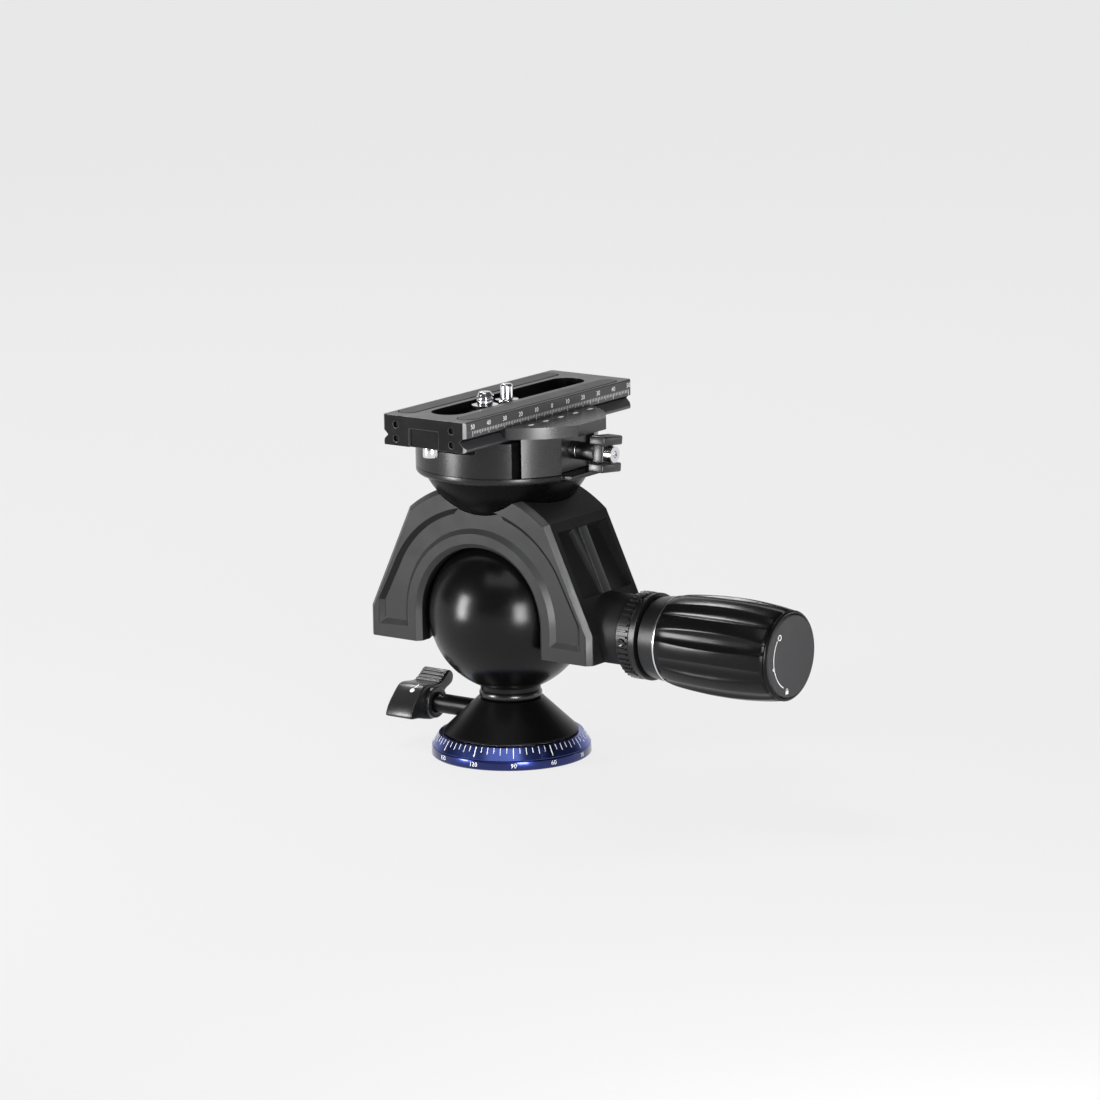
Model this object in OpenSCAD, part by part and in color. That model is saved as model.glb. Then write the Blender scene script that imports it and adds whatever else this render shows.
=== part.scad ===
// Ball head for a camera tripod: a ball on a panning base, an arched housing that clamps
// the ball, and a dovetail clamp with its camera plate.
// Millimetres. Origin: centre of the base's bottom face. +Z up, +X along the main knob.

/* [Base] */
// diameter of the round base
base_d = 61; // [50:0.5:80]
// height of the upright rim
base_rim_h = 3.7; // [2.5:0.1:6]
// diameter at the top of the scale bevel
bevel_top_d = 55; // [44:0.5:58]
// height of the scale bevel's top
base_h = 8.3; // [7:0.1:12]
// plain bore of the tripod thread
thread_bore_d = 7.94; // [5.2:0.01:9]
// depth of the tripod thread
thread_depth = 10; // [8:0.5:11]
// outside of the threaded insert
insert_d = 13; // [11:0.5:15]
// hub that the pan body turns on
hub_d = 20; // [18:0.5:22]
// depth of the pan brake groove in the hub
hub_groove = 1.4; // [0.8:0.1:2]

/* [Pan body and ball] */
// radius of the pan body's 45 degree flank at height zero
flank_r0 = 34.3; // [33:0.1:36]
// height where the flank ends below the neck
flank_top = 21.8; // [19.5:0.1:22]
// diameter of the neck ring
neck_ring_d = 24; // [22:0.1:25]
// spigot under the ball's neck
spigot_d = 18; // [15:0.1:19]
// height of the spigot's top
spigot_top = 25.2; // [23:0.1:26]
// diameter of the ball's neck
neck_d = 23; // [18:0.1:26]
// ball diameter
ball_d = 61; // [56:0.2:64]
// height of the ball's centre
ball_z = 55; // [52:0.1:58]
// shank of the bolt that holds the ball
ball_bolt_d = 8; // [6:0.5:10]
// distance from the ball's centre down to the bolt's end
ball_bolt_stop = 11; // [6:0.5:16]

/* [Pan lock] */
// height of the pan lock's axis
pan_z = 14.7; // [14:0.1:15.2]
// thread of the pan spindle
pan_thread_d = 6; // [4:0.1:6.4]
// visible shaft of the pan spindle
pan_shaft_d = 7.5; // [6.5:0.1:9]
// distance from the axis to the wing's near face
pan_wing_x = 37; // [34:0.5:42]
// thickness of the wing along its axis
pan_wing_len = 12.4; // [9:0.1:16]
// reach of the long wing from the axis
pan_wing_reach = 14.2; // [12:0.1:18]
// rise of the short wing above the axis
pan_wing_rise = 10.1; // [9:0.1:12]
// depth of the lock's shaft in the wing
pan_shaft_hold = 2; // [1:0.1:4]
// collar between the shaft and the wing
pan_collar_d = 12.2; // [10:0.1:14]
// length of the collar
pan_collar_len = 2.2; // [1:0.1:3]

/* [Housing] */
// depth of the housing front to back
housing_depth = 40.4; // [32:0.2:44]
// half width of the housing at the legs
leg_x = 51.4; // [48:0.2:56]
// half width at the shoulder
shoulder_x = 32.6; // [28:0.2:36]
// height of the shoulder
shoulder_z = 95; // [90:0.5:98]
// height where the legs turn upright
leg_turn_z = 54.9; // [50:0.5:60]
// height of the legs' bottom
leg_bottom_z = 43.5; // [41:0.5:44]
// radius of the arch opening
arch_r = 27.5; // [25:0.1:29]
// chamfer round the arch opening
arch_chamfer = 1.8; // [0.5:0.1:2.5]
// chamfer along the outer edges
edge_chamfer = 2; // [0.5:0.1:2.5]
// outer radius of the front recess
recess_out_r = 43; // [40:0.2:46]
// inner radius of the front recess
recess_in_r = 33; // [32:0.2:36]
// depth of the front recess
recess_depth = 1.6; // [0.6:0.1:2.5]

/* [Main knob] */
// height of the main knob's axis
knob_z = 53.2; // [52.6:0.1:54.6]
// boss on the housing's knob side
boss_d = 29; // [26:0.5:31]
// end of the boss along X
boss_end = 59.3; // [56:0.1:62]
// nose that the friction ring turns on
nose_d = 18; // [15:0.5:22]
// diameter of the friction ring
friction_d = 32.9; // [30:0.1:36]
// length of the friction ring
friction_len = 8.5; // [6:0.1:10]
// main spindle
spindle_d = 10; // [8:0.5:12]
// brake shoes, across
shoe_d = 17; // [14:0.5:17]
// sleeve at the knob's root
sleeve_d = 30.4; // [28:0.1:32]
// start of the grip along X
grip_x = 77.1; // [74:0.1:80]
// end of the grip along X
grip_end = 125.4; // [115:0.1:132]
// grip diameter at its root
grip_root_d = 33; // [31:0.1:34]
// largest grip diameter
grip_d = 37.2; // [35:0.1:42]
// grip diameter at its end
grip_end_d = 33.8; // [33:0.1:36]
// number of flutes in the grip
flutes = 10; // [6:1:12]
// depth of a flute
flute_depth = 1.3; // [0.4:0.1:1.6]
// diameter of the flat end cap
cap_d = 31.4; // [29:0.1:32]
// how far the end cap stands past the grip
cap_proud = 2.1; // [1.6:0.1:3]
// depth of the end cap's seat in the grip
cap_seat = 5; // [3:0.1:8]
// length of the ring round the end cap
bezel_len = 1.3; // [0.8:0.1:1.5]

/* [Clamp] */
// diameter of the clamp base and the bowl's flange
clamp_d = 68.8; // [62:0.5:74]
// underside of the clamp base
clamp_z = 112.4; // [110:0.1:114]
// radius of the bowl
bowl_r = 34.6; // [33:0.1:36]
// height of the bowl's centre
bowl_z = 124.5; // [123:0.1:126]
// height of the bowl's flat seat
seat_z = 92; // [91.2:0.1:93]
// flange of the bowl
flange_h = 2.9; // [1.5:0.1:4]
// reach of the ledge under the clamp screw past the flange
ledge = 2.8; // [1:0.1:4]
// split between the clamp base and the jaw
split_x = 21.6; // [20:0.1:23]
// open slit of the shut clamp
slit = 2.7; // [2:0.1:3.5]
// top of the jaws
jaw_top = 131.7; // [131.4:0.1:133]
// reach of the jaw's nose
jaw_nose_x = 39.4; // [36:0.1:42]
// half width of the jaw's nose
nose_half = 9; // [6:0.1:12]
// thickness of the jaw's top plate
jaw_lip_h = 4.4; // [3.5:0.1:5]
// height of the clamp screw's axis
clamp_axis_z = 120.2; // [119.5:0.1:120.6]
// thread of the clamp screw
clamp_screw_d = 5; // [4:0.1:5.4]
// bolt that holds clamp and bowl on the housing
clamp_bolt_d = 6; // [5:0.5:8]
// head of that bolt
clamp_bolt_head_d = 10; // [9:0.5:13]
// spacing of the two guide pins
pin_gap = 29; // [27:0.5:33]
// guide pins, across
jaw_pin_d = 4; // [3:0.1:5]
// start of the guide pins along X
jaw_pin_x = 9; // [6:0.1:12]
// length of the guide pins
jaw_pin_len = 19.6; // [17:0.1:22]
// start of the clamp wings along X
wing_x = 41.7; // [41:0.1:44]
// length of the clamp wings along X
wing_len = 7; // [5:0.1:9]
// width of the clamp wings
wing_w = 12.2; // [9:0.1:14]
// half height over both clamp wings
wing_reach = 6.8; // [6:0.1:8]
// thickness of one clamp wing
wing_t = 3.5; // [2.5:0.1:4]

/* [Plate] */
// width of the plate
plate_w = 38; // [36:0.1:40]
// length of the plate
plate_l = 107.3; // [95:0.1:125]
// centre of the plate along Y
plate_y = 1.8; // [0:0.1:4]
// height of the plate's underside
plate_z = 125.9; // [125.8:0.1:126.2]
// thickness of the plate
plate_t = 11.4; // [10.8:0.1:13]
// depth of the side grooves
groove_depth = 2.6; // [1.5:0.1:3]
// length of the slot
slot_l = 88; // [80:0.5:92]
// width of the slot
slot_w = 14; // [13.4:0.1:15]
// width of the channel under the slot
channel_w = 19; // [17:0.1:21]
// height of the channel under the slot
channel_h = 4.6; // [4.4:0.1:5]
// width of one rubber pad
pad_w = 8; // [5:0.1:9]
// distance of a pad's middle from the plate's middle
pad_x = 13.6; // [12.6:0.1:14]
// length of a pad
pad_l = 97; // [85:0.5:100]
// small screws in the plate's ends, across
end_screw_d = 2.6; // [1.6:0.1:2.8]
// depth of those screws
end_screw_len = 3; // [2:0.1:4]
// distance of the end screws from the plate's middle
end_screw_x = 12.7; // [11.5:0.1:13.4]
// distance from an upper to a lower end screw
end_screw_step = 5.3; // [4:0.1:5.5]
// depth of the upper end screws below the plate's top
end_screw_drop = 3.5; // [3.2:0.1:4]
// how far those screws sit below the plate's end
end_screw_sink = 1; // [0.2:0.1:1.4]
// width of the shallow notch in the plate's ends
end_notch_w = 13.4; // [10:0.1:16]
// height of that notch
end_notch_h = 7; // [5:0.1:8]
// depth of that notch
end_notch_deep = 0.8; // [0.4:0.1:1.2]
// stop pins, across
stop_d = 6; // [4:0.1:8]
// length of a stop pin below the plate
stop_h = 3.8; // [2:0.1:5]
// distance of a stop pin from the plate's middle
stop_y = 49.2; // [48.4:0.1:50]

/* [Screws] */
// thread of the camera screw
cam_d = 6.35; // [6:0.05:6.4]
// shank of the camera screw inside its slider
cam_shank_d = 6; // [5:0.05:6.1]
// top of the camera screw above the plate
cam_up = 4.1; // [3:0.1:6]
// camera screw's place along Y
cam_y = -13.4; // [-20:0.1:-13.3]
// slider bosses in the slot, across
slider_d = 12.6; // [11:0.1:13]
// height of a slider's boss above the channel
slider_rise = 4; // [3:0.1:4.4]
// flange round the camera screw
cam_flange_d = 10; // [8:0.1:11]
// video pin, across
pin_d = 4.8; // [4:0.1:6]
// top of the video pin above the plate
pin_up = 5; // [3:0.1:6]
// video pin's place along Y
pin_y = 0.4; // [0.3:0.1:4]
// flange round the video pin
pin_flange_d = 9; // [7:0.1:11]

/* [Hidden] */
$fn = 96;
// radial clearance of a turning or sliding round fit
run_fit = 0.05;
// clearance between pieces that move past each other
free_gap = 0.3;
// clearance between flat sliding faces
slide_gap = 0.2;
base_r = base_d / 2;
bevel_r = bevel_top_d / 2;
hub_r = hub_d / 2;
insert_r = insert_d / 2;
glide_out_r = bevel_r - 4;
glide_in_r = hub_r + 4.5;
glide_t = 0.7;
glide_z = base_h - 0.35;
body_z = glide_z + glide_t + run_fit;
hub_top = pan_z + 4.2;
bore_top = hub_top + 0.5;
foot_r = min(flank_r0 - body_z, bevel_r - 0.5);
ring_gap = 0.12;
ball_r = ball_d / 2;
ball_bolt_top = ball_z - ball_bolt_stop;
pan_pad_len = 4.2;
pan_face_x = hub_r - hub_groove + run_fit;
shaft_in_x = pan_face_x + pan_pad_len + 2.4;
// the wing's section across its axis, in shares of its reach and rise
wing_section = [
    [1, -0.337], [0.908, -0.059], [0.789, 0.158], [0.648, 0.356], [0.507, 0.545],
    [0.352, 0.683], [0.155, 0.703], [-0.106, 0.653], [-0.324, 0.644], [-0.493, 0.752],
    [-0.746, 1], [-0.887, 0.931], [-0.944, 0.733], [-0.859, 0.495],
    [-0.577, 0.317], [-0.479, 0.059], [-0.437, -0.297], [-0.239, -0.604], [0.028, -0.673],
    [0.324, -0.594], [0.634, -0.485], [0.93, -0.436]
];
housing_half = housing_depth / 2;
top_r = sqrt(pow(shoulder_x, 2) + pow(shoulder_z - ball_z, 2));
side_a = atan2(leg_x - shoulder_x, shoulder_z - leg_turn_z);
side_len = sqrt(pow(leg_x - shoulder_x, 2) + pow(shoulder_z - leg_turn_z, 2));
cavity_r = ball_r + free_gap;
shoe_face_r = ball_r + run_fit;
shoe_r = shoe_d / 2;
shoe_end = 45;
shoe_back = 0.8;
friction_x = boss_end + 0.3;
nose_end = friction_x + friction_len + 0.3;
sleeve_x = nose_end + 0.8;
core_r = 11.5;
flute_r = 5.6;
core_end = grip_end - cap_seat;
spindle_end = core_end - 4;
clamp_r = clamp_d / 2;
deck_z = plate_z - slide_gap;
split_face = split_x + slit;
lip_z = jaw_top - jaw_lip_h;
jaw_low = clamp_z + slide_gap;
scoop_x = 30.6;
deck_channel_z = deck_z - 4.5;
bolt_head_h = 4;
bolt_in = 5;
bolt_low = max(seat_z - bolt_in, ball_z + cavity_r + 1);
plate_top = plate_z + plate_t;
plate_half = plate_w / 2;
vee_x = plate_half - groove_depth;
vee_z = plate_z + 1.3 + groove_depth;
slab_z = vee_z + 1.4;
slider_z = plate_z + channel_h - slide_gap;
slider_t = 1.8;
slider_r = slider_d / 2;
slot_y0 = plate_y - slot_l / 2;
slot_y1 = plate_y + slot_l / 2;

// a round bar along +X from x0 to x1 on the axis y = 0 at height z
module bar_x(x0, x1, r, z) {
    translate([x0, 0, z])
        rotate([0, 90, 0])
            cylinder(h = x1 - x0, r = r);
}

// the blue base with its hub; a groove in the hub takes the pan brake
module base_plate() {
    color([0.06, 0.1, 0.42])
        rotate_extrude()
            polygon([
                [insert_r, 0], [base_r - 0.5, 0], [base_r, 0.5], [base_r, base_rim_h],
                [glide_out_r + 1, base_rim_h], [glide_out_r + 1, glide_z],
                [hub_r - run_fit, glide_z], [hub_r - run_fit, pan_z - 3.4],
                [hub_r - hub_groove, pan_z - 3.4], [hub_r - hub_groove, pan_z + 3.4],
                [hub_r - run_fit, pan_z + 3.4], [hub_r - run_fit, hub_top],
                [0, hub_top], [0, thread_depth], [insert_r, thread_depth]
            ]);
}

// steel insert with the tripod thread
module thread_insert() {
    color([0.7, 0.7, 0.72])
        difference() {
            cylinder(h = thread_depth, r = insert_r);
            translate([0, 0, -1])
                cylinder(h = thread_depth + 2, d = thread_bore_d);
        }
}

// blue bevelled ring that carries the degree marks
module scale_ring() {
    color([0.06, 0.1, 0.42])
        rotate_extrude()
            polygon([
                [glide_out_r + 1, base_rim_h], [base_r, base_rim_h],
                [bevel_r, base_h], [glide_out_r + 1, base_h]
            ]);
}

// slippery ring that the pan body turns on
module glide_ring() {
    color([0.85, 0.85, 0.82])
        translate([0, 0, glide_z])
            difference() {
                cylinder(h = glide_t, r = glide_out_r);
                translate([0, 0, -1])
                    cylinder(h = glide_t + 2, r = glide_in_r);
            }
}

// black cone under the ball, bored for the hub, the pan lock and the ball's bolt
module pan_body() {
    color([0.04, 0.04, 0.045])
        difference() {
            rotate_extrude()
                polygon([
                    [hub_r, body_z], [foot_r, body_z], [foot_r, flank_r0 - foot_r + 0.6],
                    [flank_r0 - flank_top, flank_top], [spigot_d / 2, flank_top],
                    [spigot_d / 2, spigot_top], [0, spigot_top], [0, bore_top], [hub_r, bore_top]
                ]);
            bar_x(-flank_r0, 0, pan_thread_d / 2 + run_fit, pan_z);
            bar_x(-flank_r0, -shaft_in_x + shoe_back, pan_shaft_d / 2 + free_gap, pan_z);
            translate([0, 0, bore_top - 1])
                cylinder(h = spigot_top, d = ball_bolt_d);
            translate([0, 0, bore_top - 0.01])
                cylinder(h = 2.4, r1 = ball_bolt_d / 2 + 2.4, r2 = ball_bolt_d / 2);
        }
}

// satin black ball with its short neck
module ball() {
    color([0.03, 0.03, 0.035])
        difference() {
            union() {
                translate([0, 0, ball_z])
                    sphere(r = ball_r, $fn = 128);
                translate([0, 0, spigot_top])
                    cylinder(h = ball_z - spigot_top - 20, d = neck_d);
            }
            translate([0, 0, -1])
                cylinder(h = spigot_top + 1, d = ball_d);
            translate([0, 0, spigot_top - 1])
                cylinder(h = ball_bolt_top - spigot_top + 1, d = ball_bolt_d);
        }
}

// countersunk bolt from the pan body up into the ball
module ball_bolt() {
    color([0.6, 0.6, 0.62])
        rotate_extrude()
            polygon([
                [0, bore_top], [ball_bolt_d / 2 + 2.4, bore_top],
                [ball_bolt_d / 2, bore_top + 2.4], [ball_bolt_d / 2, ball_bolt_top],
                [0, ball_bolt_top]
            ]);
}

// loose ring round the neck
module neck_ring() {
    color([0.08, 0.08, 0.085])
        rotate_extrude()
            polygon([
                [spigot_d / 2 + run_fit, flank_top + ring_gap],
                [neck_ring_d / 2, flank_top + ring_gap],
                [neck_ring_d / 2, spigot_top - 0.8],
                [neck_ring_d / 2 - 0.5, spigot_top - ring_gap],
                [spigot_d / 2 + run_fit, spigot_top - ring_gap]
            ]);
}

// brake plug pressed on the hub by the pan spindle
module pan_pad() {
    color([0.7, 0.6, 0.3])
        bar_x(-pan_face_x - pan_pad_len, -pan_face_x, pan_thread_d / 2, pan_z);
}

// pan spindle: thread inside the pan body, thicker shaft outside
module pan_spindle() {
    color([0.05, 0.05, 0.055])
        union() {
            bar_x(-shaft_in_x, -pan_face_x - pan_pad_len - run_fit, pan_thread_d / 2, pan_z);
            bar_x(-pan_wing_x - pan_shaft_hold, -shaft_in_x, pan_shaft_d / 2, pan_z);
        }
}

// wing of the pan lock with its collar, drawn as a section across the axis
module pan_wing() {
    color([0.05, 0.05, 0.055])
        difference() {
            union() {
                translate([-pan_wing_x, 0, pan_z])
                    rotate([90, 0, -90])
                        linear_extrude(pan_wing_len)
                            polygon([
                                for (p = wing_section)
                                    [p[0] * pan_wing_reach, p[1] * pan_wing_rise]
                            ]);
                bar_x(-pan_wing_x - 0.5, -pan_wing_x + pan_collar_len, pan_collar_d / 2, pan_z);
            }
            bar_x(-pan_wing_x - pan_shaft_hold, -pan_wing_x + pan_collar_len + 1, pan_shaft_d / 2, pan_z);
        }
}

// round cup in the far leg that backs the ball
module fixed_shoe() {
    color([0.75, 0.72, 0.62])
        difference() {
            bar_x(-shoe_end, -12, shoe_r, ball_z);
            translate([0, 0, ball_z])
                sphere(r = shoe_face_r, $fn = 128);
        }
}

// outline of the housing in X and Z
module housing_outline() {
    intersection() {
        polygon([
            [-leg_x, leg_bottom_z], [-leg_x, leg_turn_z], [-shoulder_x, shoulder_z],
            [-shoulder_x, shoulder_z + 20], [shoulder_x, shoulder_z + 20], [shoulder_x, shoulder_z],
            [leg_x, leg_turn_z], [leg_x, leg_bottom_z]
        ]);
        union() {
            translate([0, ball_z])
                circle(r = top_r);
            translate([-leg_x, leg_bottom_z])
                square([2 * leg_x, shoulder_z - leg_bottom_z]);
        }
    }
}

// arch-shaped recess in the front and back faces
module recess_outline() {
    difference() {
        union() {
            intersection() {
                translate([0, ball_z])
                    circle(r = recess_out_r);
                translate([-recess_out_r, ball_z + 18.8])
                    square([2 * recess_out_r, recess_out_r]);
            }
            polygon([
                [-leg_x + 4.6, leg_bottom_z + 5.3], [-leg_x + 4.6, ball_z + 3],
                [-sqrt(pow(recess_out_r, 2) - 18.8 * 18.8), ball_z + 18.8],
                [sqrt(pow(recess_out_r, 2) - 18.8 * 18.8), ball_z + 18.8],
                [leg_x - 4.6, ball_z + 3], [leg_x - 4.6, leg_bottom_z + 5.3]
            ]);
        }
        translate([0, ball_z])
            circle(r = recess_in_r);
        translate([-recess_in_r, ball_z - 40])
            square([2 * recess_in_r, 40]);
    }
}

// cuts on the +X and front side of the housing; mirrored for the other sides
module housing_edge_cuts() {
    translate([leg_x, -housing_half, leg_bottom_z - 1])
        rotate([0, 0, -45])
            translate([-edge_chamfer * 0.7071, -10, 0])
                cube([10, 20, leg_turn_z - leg_bottom_z + 1]);
    translate([leg_x, -housing_half, leg_turn_z])
        rotate([0, -side_a, 0])
            rotate([0, 0, -45])
                translate([-edge_chamfer * 0.7071, -10, -0.4])
                    cube([10, 20, side_len + 0.4]);
    translate([0, -housing_half, leg_bottom_z - 1])
        linear_extrude(ball_z - leg_bottom_z + 1)
            polygon([
                [arch_r - 1, -1], [arch_r + arch_chamfer, -1], [arch_r + arch_chamfer, 0],
                [arch_r, arch_chamfer], [arch_r - 1, arch_chamfer]
            ]);
    translate([leg_x, 0, leg_turn_z])
        rotate([0, -side_a, 0])
            translate([-1.3, -housing_half + 4.4, 14])
                rotate([0, -8.6, 0])
                    cube([8, housing_half - 7.2, side_len - 18]);
}

// dark grey arched housing with the knob's boss and nose
module housing() {
    color([0.16, 0.165, 0.17])
        difference() {
            union() {
                rotate([90, 0, 0])
                    translate([0, 0, -housing_half])
                        linear_extrude(housing_depth)
                            housing_outline();
                intersection() {
                    bar_x(leg_x - 12, boss_end, boss_d / 2, knob_z);
                    translate([0, -boss_d, leg_bottom_z])
                        cube([boss_end + 1, 2 * boss_d, 2 * boss_d]);
                }
                bar_x(leg_x, nose_end, nose_d / 2, knob_z);
            }
            // arch opening, open at the bottom
            rotate([90, 0, 0])
                translate([0, 0, -housing_half - 1])
                    linear_extrude(housing_depth + 2)
                        union() {
                            translate([0, ball_z])
                                circle(r = arch_r);
                            translate([-arch_r, ball_z - 40])
                                square([2 * arch_r, 40]);
                        }
            // round cavity and the way in for the ball from below
            translate([0, 0, ball_z])
                sphere(r = cavity_r, $fn = 128);
            translate([0, 0, ball_z - 40])
                cylinder(h = 40, r = cavity_r, $fn = 128);
            // recesses in the front and back faces
            for (side = [0, 1])
                mirror([0, side, 0])
                    translate([0, -housing_half + recess_depth, 0])
                        rotate([90, 0, 0])
                            linear_extrude(recess_depth + 1)
                                recess_outline();
            // chamfers on all four sides
            for (sx = [0, 1])
                for (sy = [0, 1])
                    mirror([sx, 0, 0])
                        mirror([0, sy, 0])
                            housing_edge_cuts();
            for (sy = [0, 1])
                mirror([0, sy, 0])
                    translate([0, -housing_half, ball_z])
                        rotate([90, 0, 0])
                            rotate_extrude(angle = 180)
                                polygon([
                                    [arch_r - 1, 1], [arch_r - 1, -arch_chamfer],
                                    [arch_r, -arch_chamfer], [arch_r + arch_chamfer, 0],
                                    [arch_r + arch_chamfer, 1]
                                ]);
            for (sy = [0, 1])
                mirror([0, sy, 0])
                    intersection() {
                        translate([0, -housing_half, ball_z])
                            rotate([90, 0, 0])
                                rotate_extrude()
                                    polygon([
                                        [top_r + 1, 1], [top_r - edge_chamfer - 1, 1],
                                        [top_r + 1, -edge_chamfer - 1]
                                    ]);
                        translate([-shoulder_x - 2, -housing_half - 3, shoulder_z - 0.5])
                            cube([2 * shoulder_x + 4, 6, 30]);
                    }
            // seat for the bowl
            translate([0, 0, bowl_z])
                intersection() {
                    sphere(r = bowl_r + slide_gap, $fn = 128);
                    translate([-60, -60, seat_z - bowl_z])
                        cube([120, 120, 60]);
                }
            translate([0, 0, bolt_low])
                cylinder(h = seat_z - bolt_low + 5, d = clamp_bolt_d);
            // bores for the brake shoes and the spindle
            bar_x(-shoe_end - 0.2, 0, shoe_r + run_fit, ball_z);
            bar_x(0, shoe_end + shoe_back, shoe_r + run_fit, knob_z);
            bar_x(20, nose_end + 1, spindle_d / 2 + run_fit, knob_z);
        }
}

// round-bottomed bowl between the housing and the clamp
module bowl() {
    color([0.03, 0.03, 0.035])
        difference() {
            union() {
                intersection() {
                    translate([0, 0, bowl_z])
                        sphere(r = bowl_r, $fn = 128);
                    translate([-60, -60, seat_z])
                        cube([120, 120, clamp_z - seat_z]);
                }
                translate([0, 0, clamp_z - flange_h])
                    cylinder(h = 1, r1 = clamp_r - 1, r2 = clamp_r);
                translate([0, 0, clamp_z - flange_h + 1])
                    cylinder(h = flange_h - 1, r = clamp_r);
                translate([0, -10.5, clamp_z - flange_h + 1])
                    cube([clamp_r + ledge, 21, flange_h - 1]);
            }
            translate([0, 0, seat_z - 1])
                cylinder(h = clamp_z - seat_z + 2, d = clamp_bolt_d);
        }
}

// fixed half of the clamp with its jaw
module clamp_base() {
    color([0.04, 0.04, 0.045])
        difference() {
            intersection() {
                union() {
                    translate([0, 0, clamp_z])
                        cylinder(h = deck_z - clamp_z, r = clamp_r);
                    rotate([90, 0, 0])
                        translate([0, 0, -clamp_r])
                            linear_extrude(2 * clamp_r)
                                polygon([
                                    [-clamp_r, deck_z - 1], [-plate_half - free_gap, deck_z - 1],
                                    [-plate_half - free_gap, vee_z - groove_depth + 0.1],
                                    [-vee_x - 0.7, vee_z - 0.2], [-vee_x - 0.7, vee_z + 0.3],
                                    [-vee_x - 1.3, slab_z - free_gap],
                                    [-plate_half - free_gap, slab_z - free_gap],
                                    [-plate_half - free_gap, jaw_top], [-clamp_r, jaw_top]
                                ]);
                }
                translate([-clamp_r - 1, -clamp_r - 1, clamp_z - 1])
                    cube([clamp_r + 1 + split_x, 2 * clamp_r + 2, 60]);
                translate([0, 0, clamp_z])
                    cylinder(h = 40, r = clamp_r);
            }
            // channel under the plate's slot
            translate([-channel_w / 2, -clamp_r - 1, deck_channel_z])
                cube([channel_w, 2 * clamp_r + 2, 20]);
            // bolt and its head
            translate([0, 0, clamp_z - 1])
                cylinder(h = 30, d = clamp_bolt_d);
            translate([0, 0, deck_channel_z - bolt_head_h])
                cylinder(h = bolt_head_h + 1, d = clamp_bolt_head_d);
            // clamp screw and guide pins
            bar_x(channel_w / 2 + 1.5, clamp_r, clamp_screw_d / 2 + run_fit, clamp_axis_z);
            for (s = [-1, 1])
                translate([0, s * pin_gap / 2, 0])
                    bar_x(jaw_pin_x, clamp_r, jaw_pin_d / 2, clamp_axis_z - 2);
        }
}

// bolt through the clamp base and bowl into the housing
module clamp_bolt() {
    color([0.6, 0.6, 0.62])
        difference() {
            union() {
                translate([0, 0, bolt_low])
                    cylinder(h = deck_channel_z - bolt_head_h - bolt_low, d = clamp_bolt_d);
                translate([0, 0, deck_channel_z - bolt_head_h])
                    cylinder(h = bolt_head_h - 0.2, d = clamp_bolt_head_d);
            }
            translate([0, 0, deck_channel_z - 2.6])
                cylinder(h = 4, r = 2.9, $fn = 6);
        }
}

// two steel pins that guide the jaw
module jaw_pins() {
    color([0.7, 0.7, 0.72])
        for (s = [-1, 1])
            translate([0, s * pin_gap / 2, 0])
                bar_x(jaw_pin_x, jaw_pin_x + jaw_pin_len, jaw_pin_d / 2, clamp_axis_z - 2);
}

// sliding jaw with its nose over the clamp knob
module jaw() {
    color([0.05, 0.05, 0.055])
        difference() {
            union() {
                intersection() {
                    translate([0, 0, jaw_low])
                        cylinder(h = lip_z - jaw_low + 0.5, r = clamp_r);
                    translate([split_face, -clamp_r, jaw_low])
                        cube([clamp_r, 2 * clamp_r, 40]);
                }
                translate([0, 0, lip_z])
                    linear_extrude(jaw_lip_h)
                        polygon([
                            [plate_half + free_gap, -clamp_r + 6.9], [21.6, -clamp_r + 7.7],
                            [26.4, -23.6], [31, -19.8], [34.6, -15.6], [37.4, -11.9],
                            [jaw_nose_x, -nose_half], [jaw_nose_x, nose_half],
                            [37.4, 11.9], [34.6, 15.6], [31, 19.8], [26.4, 23.6],
                            [21.6, clamp_r - 7.7], [plate_half + free_gap, clamp_r - 6.9]
                        ]);
                rotate([90, 0, 0])
                    translate([0, 0, -clamp_r + 7])
                        linear_extrude(2 * clamp_r - 14)
                            polygon([
                                [plate_half + 1, lip_z], [plate_half + free_gap, lip_z],
                                [plate_half + free_gap, vee_z - groove_depth + 0.1],
                                [vee_x + 0.7, vee_z - 0.2], [vee_x + 0.7, vee_z + 0.3],
                                [vee_x + 1.3, slab_z - free_gap],
                                [plate_half + 1, slab_z - free_gap]
                            ]);
            }
            // flat scoop round the clamp screw
            translate([scoop_x, -10.5, clamp_z - 1])
                cube([20, 21, lip_z - clamp_z + 1]);
            bar_x(split_x, clamp_r + 2, clamp_screw_d / 2 + run_fit, clamp_axis_z);
            for (s = [-1, 1])
                translate([0, s * pin_gap / 2, 0])
                    bar_x(split_x, jaw_pin_x + jaw_pin_len + 2 * free_gap, jaw_pin_d / 2 + run_fit, clamp_axis_z - 2);
        }
}

// bright clamp screw: thread into the base, plain shaft outside
module clamp_screw() {
    color([0.75, 0.75, 0.77])
        union() {
            bar_x(channel_w / 2 + 2, scoop_x + 0.1, clamp_screw_d / 2, clamp_axis_z);
            bar_x(scoop_x + 0.1, wing_x, clamp_screw_d / 2 + 0.9, clamp_axis_z);
            bar_x(wing_x, wing_x + 3.5, clamp_screw_d / 2, clamp_axis_z);
        }
}

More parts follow.
